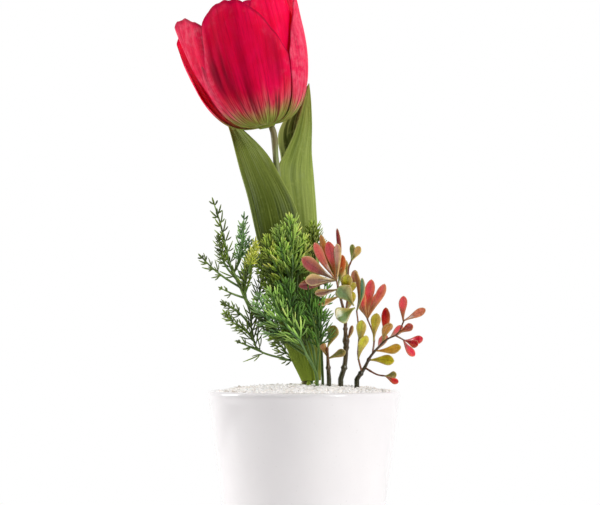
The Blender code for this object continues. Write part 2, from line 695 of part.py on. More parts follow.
# Twigs of spoon-shaped leaves: paths of the twigs, of which the first goes on from the foot, then
# root, tip and width of each leaf, in millimetres
SPRAYS = {
    "spray_short": (
        [[(12.3, -8, 104), (11.9, -9, 112.5)]],
        [((11.9, -8.9, 112.0), (15.8, -12, 123.5), 6.4),
         ((12.2, -8.2, 106.5), (21.0, -13, 110.6), 4.2),
         ((12.0, -8.4, 107.5), (9.0, -9.5, 115), 3.6)],
    ),
    "spray_middle": (
        [[(20.8, -5.5, 103), (21.6, -6, 112), (21.2, -7, 120.5), (21.0, -8, 128), (18.5, -13, 138),
          (16.5, -18, 146.4)],
         [(21.0, -8, 128), (22.6, -8, 140), (22.7, -8, 151.9), (24.4, -8, 157)]],
        [((16.5, -18, 146.4), (0.6, -27, 146.4), 6.2),
         ((16.5, -18, 146.4), (-2.8, -22, 143.6), 5.4),
         ((16.5, -18, 146.4), (-1.2, -26, 157.8), 6.8),
         ((16.5, -18, 146.4), (4.8, -22, 166.0), 5.8),
         ((16.5, -18, 146.4), (12.2, -21, 166.2), 5.4),
         ((16.5, -18, 146.4), (16.8, -15, 173.1), 2.4),
         ((16.5, -18, 146.4), (16.8, -23, 165), 3.8),
         ((17.2, -16.4, 143.4), (19.6, -15, 159.5), 4.6),
         ((17.4, -15.8, 142), (5.5, -20.5, 139.5), 4.8),
         ((18.2, -13.8, 139), (21.0, -19.5, 148), 4.8),
         ((22.2, -8, 136), (17.8, -15, 144), 8.0),
         ((21.6, -8, 131), (16.4, -15.5, 126.4), 7.6),
         ((22.7, -8, 142), (26.4, -5.0, 152), 4.2),
         ((24.2, -8, 156.5), (24.8, -6.5, 165.2), 3.0),
         ((24.2, -8, 156.5), (28.6, -9.0, 164.0), 4.0),
         ((22.6, -8, 148), (19.0, 1.0, 158), 4.6),
         ((21.4, -8, 131), (25.0, 1.5, 141), 5.2),
         ((21.5, -6.2, 115), (24.8, -8.5, 123.5), 2.4)],
    ),
    "spray_right": (
        [[(31.1, -7.5, 102.1), (34.5, -8, 108.3), (41.8, -9.5, 116), (47.9, -11, 119.4), (51.0, -11, 126)],
         [(35.2, -8, 109.2), (35.8, -5, 118), (32.6, -2.5, 126.9)],
         [(29.6, -7.3, 99.6), (27.6, -11.5, 108.3), (28.0, -13.5, 119.4), (26.9, -12, 131)],
         [(46.5, -10.7, 118.6), (51.2, -9.4, 116)],
         [(31.0, -7.5, 102), (37.0, -11, 98.6), (41.5, -13, 97.8)]],
        [((32.6, -2.5, 126.9), (34.7, -4.5, 147.2), 5.2),
         ((32.6, -2.5, 126.9), (41.4, -8, 144.8), 4.8),
         ((32.6, -2.5, 126.9), (39.4, 3.0, 141), 4.4),
         ((32.6, -2.5, 126.9), (28.6, 3.5, 137.0), 4.2),
         ((32.6, -2.5, 126.9), (30.0, -7.5, 140.5), 3.6),
         ((35.7, -6, 115.4), (37.2, -13, 129.8), 5.0),
         ((40.1, -9.0, 114.6), (43.8, -16, 124.8), 5.6),
         ((41.0, -9.2, 115.2), (42.0, -4.0, 132.8), 4.8),
         ((50.8, -11, 125), (50.7, -13.5, 138.6), 4.6),
         ((51.0, -11, 126), (62.2, -8.5, 132), 4.2),
         ((47.9, -11, 119.4), (55.4, -16, 123.6), 4.2),
         ((51.2, -9.4, 116), (61.0, -7, 116.8), 4.4),
         ((51.2, -9.4, 116), (58.0, -14.5, 113.4), 4.2),
         ((50.8, -9.4, 116.2), (56.8, -3.5, 107.8), 4.2),
         ((36.4, -8.4, 110.6), (49.4, -15, 112.4), 5.0),
         ((33.0, -7.8, 105.8), (46.0, -12, 105.4), 5.0),
         ((28.2, -13.3, 112), (29.4, -18.5, 126.3), 4.8),
         ((27.6, -11.7, 106), (31.6, -17, 118.5), 5.0),
         ((26.9, -12, 131), (26.2, -9, 151.5), 4.0),
         ((26.9, -12, 131), (29.6, -14.5, 147.8), 2.6),
         ((41.5, -13, 97.8), (47.0, -16, 98.8), 3.6),
         ((37.0, -8.4, 111.2), (42.0, 4.0, 119), 5.0),
         ((44.0, -10, 117.2), (51.0, 0.0, 123), 4.4)],
    ),
}


def spoon_leaf(root, tip, width, rng):
    """A spoon-shaped leaf on a narrow stalk: widest past its middle, a little arched."""
    root = Vector(root) * MM
    tip = Vector(tip) * MM
    axis = tip - root
    facing = Vector((rng.uniform(-0.5, 0.5), -1, rng.uniform(-0.2, 0.5)))
    across = axis.cross(facing).normalized()
    normal = across.cross(axis).normalized()
    vertices = []
    triangles = []
    stations = (0.0, 0.38, 0.64, 0.86)
    for s in stations:
        half = 0.45 * MM + (width / 2 * MM - 0.45 * MM) * math.sin(math.pi * s**2.2) ** 0.9
        centre = root + axis * s - normal * (0.10 * axis.length * math.sin(math.pi * s))
        vertices.append(centre - across * half)
        vertices.append(centre + across * half)
    vertices.append(tip)
    for k in range(len(stations) - 1):
        a, b, c, d = 2 * k, 2 * k + 1, 2 * k + 2, 2 * k + 3
        triangles += [(a, b, d), (a, d, c)]
    last = len(vertices) - 1
    triangles.append((last - 2, last - 1, last))
    return vertices, triangles


def make_spray(name):
    """A spray: a foot, tapered twigs and spoon-shaped leaves, in one body."""
    rng = random.Random(name)
    twigs, leaves = SPRAYS[name]
    pieces = [foot(name)]
    first_radius = STEMS[name][2] * MM
    for order, path in enumerate(twigs):
        path = footed(name, path) if order == 0 else path
        points = rail(path, 2 * (len(path) - 1) + 1)
        radius = first_radius if order == 0 else TWIG_RADIUS
        pieces.append(tube(name + "_twig", points, radius, TWIG_END, resolution=1 if order == 0 else 0))
    for root, tip, width in leaves:
        vertices, triangles = spoon_leaf(root, tip, width, rng)
        pieces.append(sheet(name + "_leaf", vertices, triangles, SPRAY_LEAF_THICKNESS))
    return fuse(name, pieces, TWIG_RED)


make_pot()
make_foam_block()
make_gravel()
make_tulip_stem()
make_bloom()
make_flower_centre()
make_broad_leaf("leaf_left", LEAF_GREEN)
make_broad_leaf("leaf_right", LEAF_PALE)
for sprig_name in SPRIGS:
    make_sprig(sprig_name)
for spray_name in SPRAYS:
    make_spray(spray_name)
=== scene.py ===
# %% [markdown]
# # A tulip arrangement in a white pot
# The object is a table decoration: a red fabric tulip with two broad leaves, sprigs of cut-leaved
# greenery and twigs of spoon-shaped leaves, standing in white stone chips in a glazed pot. Its solid
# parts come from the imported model. This lesson dresses them: each piece is a surface worked out with
# numpy as a function of two numbers, and each finish is a small graph of shader nodes.
# Lengths of pieces are in millimetres and become metres when a mesh is written. The stage at the end
# is in metres.

import math
import random

import bpy
import numpy as np
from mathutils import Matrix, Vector


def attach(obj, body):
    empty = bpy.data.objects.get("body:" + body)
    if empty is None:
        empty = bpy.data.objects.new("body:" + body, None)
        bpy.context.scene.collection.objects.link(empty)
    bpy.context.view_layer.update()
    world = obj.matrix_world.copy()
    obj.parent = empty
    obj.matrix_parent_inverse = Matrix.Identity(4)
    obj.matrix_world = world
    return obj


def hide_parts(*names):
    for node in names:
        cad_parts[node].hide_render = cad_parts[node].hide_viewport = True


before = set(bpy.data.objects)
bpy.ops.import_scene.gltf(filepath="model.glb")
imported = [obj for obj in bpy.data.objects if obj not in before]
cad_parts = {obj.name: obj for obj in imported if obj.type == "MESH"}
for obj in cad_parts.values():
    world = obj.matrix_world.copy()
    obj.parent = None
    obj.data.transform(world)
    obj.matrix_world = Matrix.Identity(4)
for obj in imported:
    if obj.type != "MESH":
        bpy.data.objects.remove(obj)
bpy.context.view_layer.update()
MM = 0.001
FRONT = np.array([0.0, -1.0, 0.0])

# %% [markdown]
# ## Writing a mesh
# Every piece ends as one mesh: arrays of points, of faces, of a colour for each point and of a place
# on the unrolled surface. A part is such a set of arrays; several parts are joined by adding up
# their point numbers. The fourth value of the colour says which side of a thin blade a point is on.

# %% Helpers that turn arrays into a piece
PLAIN = (1.0, 1.0, 1.0, 0.0)


def unit(vectors):
    """Vectors of length one: each is divided by its own length."""
    return vectors / np.maximum(np.linalg.norm(vectors, axis=-1, keepdims=True), 1e-12)


def part(points, faces, tint=PLAIN, place=(0.0, 0.0)):
    """One part: points, blocks of faces, and a colour and a surface place for each point. One colour or
    place alone stands for all points."""
    points = np.reshape(points, (-1, 3))
    tint = np.broadcast_to(tint, (len(points), 4)) if np.ndim(tint) == 1 else tint
    place = np.broadcast_to(place, (len(points), 2)) if np.ndim(place) == 1 else place
    return points, faces, np.reshape(tint, (-1, 4)), np.reshape(place, (-1, 2))


def join(parts):
    """Several parts as one: each part's face numbers move up by the points before it."""
    points, blocks, tints, places = zip(*parts)
    shift = np.cumsum([0] + [len(each) for each in points])
    faces = [block + offset for own, offset in zip(blocks, shift) for block in own]
    return np.concatenate(points), faces, np.concatenate(tints), np.concatenate(places)


def add_piece(name, made, finish, node, smooth=True):
    """Write a part into a mesh object that stands for a node of the solid model."""
    points, faces, tint, place = made
    mesh = bpy.data.meshes.new(name)
    loops = np.concatenate([block.ravel() for block in faces]).astype(np.int32)
    sides = np.concatenate([np.full(len(block), block.shape[1]) for block in faces]).astype(np.int32)
    mesh.vertices.add(len(points))
    mesh.vertices.foreach_set("co", (points * MM).ravel())
    mesh.loops.add(len(loops))
    mesh.loops.foreach_set("vertex_index", loops)
    mesh.polygons.add(len(sides))
    mesh.polygons.foreach_set("loop_start", np.concatenate([[0], np.cumsum(sides)[:-1]]).astype(np.int32))
    mesh.update(calc_edges=True)
    mesh.polygons.foreach_set("use_smooth", np.full(len(sides), smooth))
    mesh.uv_layers.new(name="surface").uv.foreach_set("vector", place[loops].ravel())
    mesh.color_attributes.new("tint", "FLOAT_COLOR", "POINT").data.foreach_set("color", tint.ravel())
    mesh.materials.append(finish)
    piece = bpy.data.objects.new(name, mesh)
    bpy.context.scene.collection.objects.link(piece)
    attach(piece, "root")
    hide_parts(node)
    print(f"{name}: {len(points)} points, {int((sides - 2).sum())} triangles")


# %% [markdown]
# ## Two ways to make a surface
# Stalks and needles are a ring carried along a path; petals and leaves are thin sheets. Both helpers
# take many shapes at once, so all the leaflets of a frond cost one call.

# %% Helpers for paths and rods
def rail(points, count):
    """Points on a smooth curve through the given ones: a cubic between each pair, whose slope at a
    point is half the step from its neighbour before to its neighbour after."""
    knots = np.array(points, dtype=float)
    padded = np.vstack([2 * knots[0] - knots[1], knots, 2 * knots[-1] - knots[-2]])
    place = np.linspace(0, len(knots) - 1, count)
    start = np.minimum(place.astype(int), len(knots) - 2)
    s = (place - start)[:, None]
    a, b, c, d = (padded[start + k] for k in range(4))
    return 0.5 * (2 * b + (c - a) * s + (2 * a - 5 * b + 4 * c - d) * s**2 + (3 * b - a - 3 * c + d) * s**3)


def rods(centres, across, up, half_width, half_height, ring, tint=PLAIN):
    """Closed rods. At each centre an ellipse stands across the path: centre + cos(angle) * half width
    * across + sin(angle) * half height * up. Both ends are capped."""
    count, stations = centres.shape[:2]
    angle = np.arange(ring) * math.tau / ring
    offset = (np.cos(angle)[:, None] * (across * half_width[..., None])[:, :, None]
              + np.sin(angle)[:, None] * (up * half_height[..., None])[:, :, None])
    points = centres[:, :, None] + offset
    index = np.arange(count * stations * ring).reshape(count, stations, ring)
    after = np.roll(index, -1, axis=2)
    walls = np.stack([index[:, 1:], after[:, 1:], after[:, :-1], index[:, :-1]], -1).reshape(-1, 4)
    caps = np.concatenate([index[:, 0], index[:, -1, ::-1]])
    if np.ndim(tint) > 1:
        tint = np.broadcast_to(tint[:, :, None], (count, stations, ring, 4))
    return part(points, [walls, caps], tint)


def cross_frame(path):
    """Across and up directions of a path: across is at right angles to the path and to the front
    direction, and up to the path and to across."""
    along = unit(np.gradient(path, axis=-2))
    across = unit(np.cross(along, FRONT))
    return across, np.cross(across, along)


def pipe(path, radius, ring, tint=PLAIN):
    """A round rod along one path, with a radius at each point of it."""
    across, up = cross_frame(path)
    radius = np.broadcast_to(radius, len(path))
    tint = tint[None] if np.ndim(tint) > 1 else tint
    return rods(path[None], across[None], up[None], radius[None], radius[None], ring, tint)


# %% Helper for thin sheets
def sheets(grid, half, tint, place):
    """Closed thin blades. The two faces are the grid moved by half the thickness along its normal,
    which is at right angles to the steps across and along; strips close the rim between them."""
    count, rows, columns = grid.shape[:3]
    normal = unit(np.cross(np.gradient(grid, axis=2), np.gradient(grid, axis=1)))
    shift = normal * half[..., None]
    points = np.stack([grid + shift, grid - shift], 1)
    index = np.arange(points[..., 0].size).reshape(count, 2, rows, columns)
    front, back = index[:, 0], index[:, 1]
    front_faces = np.stack([front[:, :-1, :-1], front[:, :-1, 1:], front[:, 1:, 1:], front[:, 1:, :-1]], -1)
    back_faces = np.stack([back[:, :-1, :-1], back[:, 1:, :-1], back[:, 1:, 1:], back[:, :-1, 1:]], -1)
    rim = [np.concatenate([side[:, 0, :-1], side[:, :-1, -1], side[:, -1, :0:-1], side[:, :0:-1, 0]], 1)
           for side in (front, back)]
    ahead = [np.roll(loop, -1, axis=1) for loop in rim]
    rim_faces = np.stack([ahead[0], rim[0], rim[1], ahead[1]], -1)
    faces = [block.reshape(-1, 4) for block in (front_faces, back_faces, rim_faces)]
    tint = np.stack([tint, tint], 1)
    tint[:, 1, ..., 3] = 1.0
    return part(points, faces, tint, np.stack([place, place], 1))


# %% Helpers for relief and for what varies along a piece
def ease(value, low, high):
    """A smooth step: 0 below low, 1 above high, and 3s^2 - 2s^3 of the share between them."""
    s = np.clip((value - low) / (high - low), 0, 1)
    return s * s * (3 - 2 * s)


def hump(value, middle, width):
    """A smooth hump of height 1: exp of minus the square of the distance over the width."""
    return np.exp(-(((value - middle) / width) ** 2))


def blend(low, high, share):
    """A mix of two values: low * (1 - share) + high * share."""
    return low * (1 - share) + high * share


def smooth_noise(u, v, columns, rows, seed):
    """Random relief: a table of random heights from -1 to 1, eased between its columns and rows."""
    table = np.random.default_rng(seed).uniform(-1, 1, (rows + 2, columns + 2))
    x, y = np.clip(u, 0, 1) * columns, np.clip(v, 0, 1) * rows
    column, row = x.astype(int), y.astype(int)
    fx, fy = ease(x - column, 0, 1), ease(y - row, 0, 1)
    low = blend(table[row, column], table[row, column + 1], fx)
    high = blend(table[row + 1, column], table[row + 1, column + 1], fx)
    return blend(low, high, fy)


# %% [markdown]
# ## Writing a finish
# A finish is a Principled shader whose colour, roughness and bump come from noise. The helpers keep
# each graph down to a few readable lines. Colours are given as a screen shows them, 0 to 255.

# %% Helpers for shader nodes
def colour(red, green, blue):
    """A screen colour as light: a share s of 255 becomes ((s + 0.055) / 1.055) to the power 2.4, or
    s / 12.92 when it is very dark."""
    share = np.array([red, green, blue]) / 255
    light = np.where(share < 0.04045, share / 12.92, ((share + 0.055) / 1.055) ** 2.4)
    return (*light.tolist(), 1.0)


def light_of(red, green, blue):
    """The same as an array to blend along a piece. Its 0 stands for the first side of a blade."""
    return np.array([*colour(red, green, blue)[:3], 0.0])


class Graph:
    """A node tree and short ways to add to it."""

    def __init__(self, tree):
        self.tree = tree

    def feed(self, node, inputs):
        """Give a node its inputs; each is a value or another node's output."""
        for key, value in inputs.items():
            if isinstance(value, bpy.types.NodeSocket):
                self.tree.links.new(value, node.inputs[key])
            else:
                node.inputs[key].default_value = value

    def node(self, kind, inputs=None, **settings):
        """Add a node with its settings and inputs."""
        made = self.tree.nodes.new("ShaderNode" + kind)
        for key, value in settings.items():
            setattr(made, key, value)
        self.feed(made, inputs or {})
        return made


# %% A finish and the nodes that it is made of
class Finish(Graph):
    """A material under construction, which starts as a plain Principled shader."""

    def __init__(self, name):
        self.material = bpy.data.materials.new(name)
        self.material.use_nodes = True
        super().__init__(self.material.node_tree)
        self.shader = self.tree.nodes["Principled BSDF"]

    def set(self, inputs):
        """Give the shader some of its inputs."""
        self.feed(self.shader, inputs)

    def own(self, channel="Color"):
        """The piece's own colours, or with "Alpha" the side of a blade."""
        return self.node("Attribute", attribute_name="tint").outputs[channel]

    def places(self, scale=(1, 1, 1), surface=False):
        """Object coordinates, or the piece's own surface coordinates, stretched by a scale."""
        if surface:
            source = self.node("UVMap", uv_map="surface").outputs["UV"]
        else:
            source = self.node("TexCoord").outputs["Object"]
        return self.node("Mapping", {"Vector": source, "Scale": scale}).outputs["Vector"]

    def noise(self, vector, scale, detail=3.0, roughness=0.55, distortion=0.0):
        """Noise from 0 to 1."""
        return self.node("TexNoise", {"Vector": vector, "Scale": scale, "Detail": detail,
                                      "Roughness": roughness, "Distortion": distortion}).outputs["Fac"]

    def ramp(self, factor, *stops):
        """A colour ramp; each stop is a place and a colour or a grey value."""
        made = self.node("ValToRGB", {"Fac": factor})
        marks = made.color_ramp.elements
        while len(marks) < len(stops):
            marks.new(0.5)
        for mark, (place, shade) in zip(marks, stops):
            mark.position = place
            mark.color = shade if isinstance(shade, tuple) else (shade, shade, shade, 1.0)
        return made.outputs["Color"]

    def spread(self, noise, low, high):
        """From low to high over the range that most of a noise has, 0.3 to 0.7."""
        return self.ramp(noise, (0.3, low), (0.7, high))

    def rise(self, factor, low, high, top=1.0):
        """None below low, and the top value above high."""
        return self.ramp(factor, (low, 0.0), (high, top))

    def mix(self, factor, low, high, mode="MIX"):
        """A mix of two colours."""
        made = self.node("Mix", {0: factor, 6: low, 7: high}, data_type="RGBA", blend_type=mode)
        return made.outputs[2]

    def layers(self, base, *covers):
        """A base colour and what lies over it: each cover is a factor and a colour."""
        for factor, cover in covers:
            base = self.mix(factor, base, cover)
        return base

    def own_times(self, shade):
        """The piece's own colours times a shade, which varies them a little."""
        return self.mix(1.0, self.own(), shade, "MULTIPLY")

    def math(self, operation, first, second=0.5):
        """Arithmetic on numbers."""
        return self.node("Math", {0: first, 1: second}, operation=operation).outputs[0]

    def bump(self, height, depth):
        """Relief that only the light sees, with its depth in millimetres."""
        made = self.node("Bump", {"Height": height, "Distance": depth * MM, "Strength": 1.0})
        self.set({"Normal": made.outputs["Normal"]})


# %% [markdown]
# ## The pot
# The pot is turned, so its surface is an outline carried round its axis. The outline is a straight
# taper with a rounded rim and foot. The glaze is white, glossy and a little uneven, as a dipped glaze
# is, which shows as a soft waver in its reflections.

# %% The pot's outline and its surface
POT_HEIGHT, RIM_RADIUS, BASE_RADIUS, WALL, FLOOR, EDGE = 90.0, 50.0, 37.7, 3.5, 5.0, 2.0
POT_SIDES = 180


def outer_radius(z):
    """Outer radius of the pot: it widens evenly from the base to the rim."""
    return BASE_RADIUS + (RIM_RADIUS - BASE_RADIUS) * z / POT_HEIGHT


def bend(x, z, radius, start, end, count):
    """A rounded corner of the outline: points on a circle between two angles, in degrees."""
    angle = np.radians(np.linspace(start, end, count))
    return np.stack([x + radius * np.cos(angle), z + radius * np.sin(angle)], 1)


def pot_outline():
    """From the middle of the inside floor, up the wall, over the rim and down to the base."""
    rim = WALL / 2
    inside = np.linspace([outer_radius(FLOOR + EDGE) - WALL, FLOOR + EDGE],
                         [outer_radius(POT_HEIGHT - rim) - WALL, POT_HEIGHT - rim], 8)[:-1]
    over = bend(RIM_RADIUS - rim, POT_HEIGHT - rim, rim, 180, 0, 15)
    outside = np.linspace([outer_radius(POT_HEIGHT - rim - 2), POT_HEIGHT - rim - 2],
                          [outer_radius(EDGE + 1), EDGE + 1], 28)
    foot = bend(outer_radius(EDGE) - EDGE, EDGE, EDGE, 0, -90, 8)
    return np.vstack([[0.02, FLOOR], [outer_radius(FLOOR) - WALL - EDGE, FLOOR], inside, over, outside,
                      foot, [0.02, 0.0]])


def turned(outline, sides):
    """An outline carried round the axis: x = radius * cos(angle), y = radius * sin(angle)."""
    angle = np.arange(sides) * math.tau / sides
    ring = np.stack([np.cos(angle), np.sin(angle), np.zeros(sides)], 1)
    points = outline[:, None, :1] * ring + np.array([0, 0, 1.0]) * outline[:, None, 1:]
    index = np.arange(points[..., 0].size).reshape(len(outline), sides)
    after = np.roll(index, -1, axis=1)
    walls = np.stack([index[:-1], index[1:], after[1:], after[:-1]], -1).reshape(-1, 4)
    return part(points, [walls, index[:1], index[-1:, ::-1]])


# %% The glaze
glaze = Finish("white glaze")
cloud = glaze.noise(glaze.places((1, 1, 0.6)), 26.0, 3.0)
speck = glaze.noise(glaze.places(), 900.0, 2.0)
white = glaze.spread(cloud, colour(237, 233, 234), colour(244, 240, 240))
glaze.set({
    "Base Color": glaze.mix(glaze.rise(speck, 0.68, 0.78), white, colour(228, 224, 223)),
    "Roughness": glaze.spread(cloud, 0.09, 0.16),
    "Coat Weight": 0.6,
    "Coat Roughness": 0.05,
})
glaze.bump(glaze.math("ADD", cloud, glaze.math("MULTIPLY", speck, 0.04)), 0.12)
add_piece("pot_glazed", turned(pot_outline(), POT_SIDES), glaze.material, "pot")

# %% [markdown]
# ## The stone chips
# The pot is filled with crushed white stone. One chip is a twenty-sided lump whose corners are pushed
# in and out at random and then stretched, so it has flat broken faces. Some two thousand of them lie
# along a loosened spiral on a smooth bed, in whites and a few warm greys.

# %% Where the chips and the stems are
GRAVEL_BOTTOM, GRAVEL_EDGE, GRAVEL_RISE = 80.0, 89.2, 3.4
INNER = outer_radius(POT_HEIGHT) - WALL
# A stem is straight between these two heights, and clear of the chips at the third
STEM_FOOT, STEM_TOP, STEM_CLEAR = 50.0, 80.0, 96.0
# Place and radius of each stem where it goes down through the chips
STEMS = {"tulip_stem": (0.5, 0.0, 1.65), "leaf_left": (2.4, -6.6, 1.2), "leaf_right": (6.0, 4.4, 1.2),
         "fern_left": (3.6, -2.6, 1.1), "fern_centre": (6.8, -9.6, 1.0), "fern_front": (6.6, -13.2, 1.2),
         "fern_back": (9.6, -3.8, 0.9), "fern_rear": (3.0, 9.0, 1.1), "spray_short": (12.8, -7.6, 1.2),
         "spray_middle": (18.8, -5.0, 1.4), "spray_right": (27.0, -7.0, 1.3)}


def straight_foot(name):
    """The two ends of a stem's straight foot in the foam."""
    x, y, _ = STEMS[name]
    return [(x, y, STEM_FOOT), (x, y, STEM_TOP)]


def footed(name, points):
    """The path of a stem's first branch: it comes straight out of the chips."""
    x, y, _ = STEMS[name]
    return [(x, y, STEM_CLEAR), *points]


def gravel_height(x, y):
    """The heaped gravel is a low dome: its height falls with the square of the distance."""
    return GRAVEL_EDGE + GRAVEL_RISE * (1 - (x * x + y * y) / INNER**2)


# %% Chips and the bed under them
CHIPS, CORNERS = 2300, 12
CHIP_SMALL, CHIP_LARGE, CHIP_JITTER = 0.85, 1.75, 0.45
BED_SIDES, BED_DEPTH = 72, 0.9


def lump():
    """A twenty-sided solid: twelve corners on three golden rectangles, and its faces."""
    g = (1 + math.sqrt(5)) / 2
    corners = np.array([(-1, g, 0), (1, g, 0), (-1, -g, 0), (1, -g, 0), (0, -1, g), (0, 1, g),
                        (0, -1, -g), (0, 1, -g), (g, 0, -1), (g, 0, 1), (-g, 0, -1), (-g, 0, 1)])
    faces = np.array([(0, 11, 5), (0, 5, 1), (0, 1, 7), (0, 7, 10), (0, 10, 11), (1, 5, 9), (5, 11, 4),
                      (11, 10, 2), (10, 7, 6), (7, 1, 8), (3, 9, 4), (3, 4, 2), (3, 2, 6), (3, 6, 8),
                      (3, 8, 9), (4, 9, 5), (2, 4, 11), (6, 2, 10), (8, 6, 7), (9, 8, 1)])
    return unit(corners), faces


def turns(rng, count):
    """Random turns: each axis is a random direction and each angle is up to a full turn."""
    axis = unit(rng.normal(size=(count, 3)))
    angle = rng.uniform(0, math.tau, count)[:, None, None]
    skew = np.zeros((count, 3, 3))
    skew[:, 0, 1], skew[:, 0, 2], skew[:, 1, 2] = -axis[:, 2], axis[:, 1], -axis[:, 0]
    skew -= np.transpose(skew, (0, 2, 1))
    return np.eye(3) + np.sin(angle) * skew + (1 - np.cos(angle)) * (skew @ skew)


def chips(count, seed):
    """Places by the golden angle, so that they cover the circle evenly, and a lump at each. Chips that
    would touch a stem or the pot are left out."""
    rng = np.random.default_rng(seed)
    k = np.arange(count) + 0.5
    radius = (INNER - 1.9) * np.sqrt(k / count)
    angle = k * math.pi * (3 - math.sqrt(5))
    x = radius * np.cos(angle) + rng.normal(0, CHIP_JITTER, count)
    y = radius * np.sin(angle) + rng.normal(0, CHIP_JITTER, count)
    size = rng.uniform(CHIP_SMALL, CHIP_LARGE, count)
    reach = np.hypot(x, y) + size
    size = np.where(reach > INNER - 0.5, np.maximum(0.6, size - (reach - INNER + 0.5)), size)
    stems = np.array(list(STEMS.values()))
    gap = (np.hypot(x[:, None] - stems[:, 0], y[:, None] - stems[:, 1]) - stems[:, 2]).min(axis=1)
    keep = (gap > size * 1.05) & (np.hypot(x, y) + size < INNER)
    x, y, size = x[keep], y[keep], size[keep]
    corners, faces = lump()
    number = len(x)
    bumps = rng.uniform(0.72, 1.12, (number, CORNERS, 1))
    shape = corners * bumps * rng.uniform(0.65, 1.15, (number, 1, 3)) * size[:, None, None]
    shape = shape @ np.transpose(turns(rng, number), (0, 2, 1))
    z = gravel_height(x, y) + rng.uniform(-0.7, 0.0, number)
    points = shape + np.stack([x, y, z], 1)[:, None]
    shade = rng.uniform(1.0, 1.12, (number, 1))
    warmth = rng.normal(0, 0.018, (number, 1))
    tints = np.concatenate([shade + warmth, shade, shade - warmth + 0.01, np.zeros((number, 1))], 1)
    tints[rng.uniform(size=number) < 0.06, :3] *= np.array([0.78, 0.74, 0.70])
    all_faces = (faces[None] + CORNERS * np.arange(number)[:, None, None]).reshape(-1, 3)
    return part(points, [all_faces], np.repeat(tints[:, None], CORNERS, axis=1))


def bed():
    """The layer under the chips: rings of points on the dome, closed below at the foam."""
    radius = np.concatenate([[0.05], np.linspace(2, INNER - 0.9, 20), [INNER - 2.0], [0.05]])
    top = len(radius) - 2
    rings = turned(np.stack([radius, np.zeros(len(radius))], 1), BED_SIDES)
    points = rings[0].reshape(len(radius), BED_SIDES, 3)
    points[:top, :, 2] = gravel_height(points[:top, :, 0], points[:top, :, 1]) - BED_DEPTH
    points[top:, :, 2] = GRAVEL_BOTTOM
    return part(points, rings[1], (0.98, 0.96, 0.94, 0.0))


# %% The stone's finish
stone = Finish("crushed stone")
grain = stone.noise(stone.places(), 1500.0, 4.0)
vein = stone.noise(stone.places(), 420.0, 3.0, 0.6, 1.0)
pale = stone.spread(grain, colour(242, 238, 234), colour(255, 252, 248))
veined = stone.mix(stone.rise(vein, 0.45, 0.75), pale, colour(230, 222, 216))
stone.set({
    "Base Color": stone.own_times(veined),
    "Roughness": stone.spread(grain, 0.6, 0.9),
    "Subsurface Weight": 0.35,
    "Subsurface Radius": (0.002, 0.002, 0.002),
})
stone.bump(grain, 0.10)
add_piece("gravel_chips", join([bed(), chips(CHIPS, 11)]), stone.material, "gravel", smooth=False)

# %% [markdown]
# ## The bloom
# Six fabric petals make a cup that leans to the left: three outer ones and three inner ones. Each is
# a stretch of one egg-shaped cup, cut off by rounded shoulders. The fabric is heat-pressed, so it has
# creases that fan out from the base, and its rim is slightly ruffled. A grid of several thousand points
# per petal lets those creases be real relief.

# %% The petals' form
BLOOM_BASE = np.array([-19.0, 0.0, 225.4])
BLOOM_TILT = math.radians(-13)
PETAL_ROWS, PETAL_COLUMNS = 84, 91
# Each petal: middle direction and half width in degrees, height and tip radius, how far it lies inside
# the outer layer, and for its two sides how much the top opens, how far the shoulder drops and what
# share of its width the foot has
PETALS = {
    "front": (-105.5, 55.5, 65, 30.0, 0.0, (0.0, 0.0), (0.45, 0.32), (0.75, 1.00)),
    "right": (15.0, 62.0, 72, 27.5, 0.0, (0.0, 0.0), (0.36, 0.45), (0.88, 0.32)),
    "left": (145.0, 45.0, 61, 31.0, 0.0, (7.0, 7.0), (0.42, 0.36), (0.70, 0.70)),
    "inner_right": (-47.0, 47.0, 75, 28.5, 2.6, (0.0, 0.0), (0.26, 0.42), (0.96, 0.96)),
    "inner_back": (80.0, 46.0, 70, 28.0, 2.6, (0.0, 0.0), (0.42, 0.42), (0.62, 0.62)),
    "inner_left": (195.0, 47.0, 64, 31.0, 2.6, (5.5, 0.0), (0.50, 0.20), (0.62, 0.62)),
}


def in_bloom(points):
    """Points of the bloom's own frame in the object's frame: tilted to the left, then moved."""
    x, y, z = points[..., 0], points[..., 1], points[..., 2]
    c, s = math.cos(BLOOM_TILT), math.sin(BLOOM_TILT)
    return np.stack([c * x + s * z, y, c * z - s * x], -1) + BLOOM_BASE


def petal_top(petal, u):
    """The top line of a petal: 1 - drop * |u|^2.2, with a drop for each of its two shoulders."""
    return 1 - np.where(u < 0, petal[6][0], petal[6][1]) * np.abs(u) ** 2.2


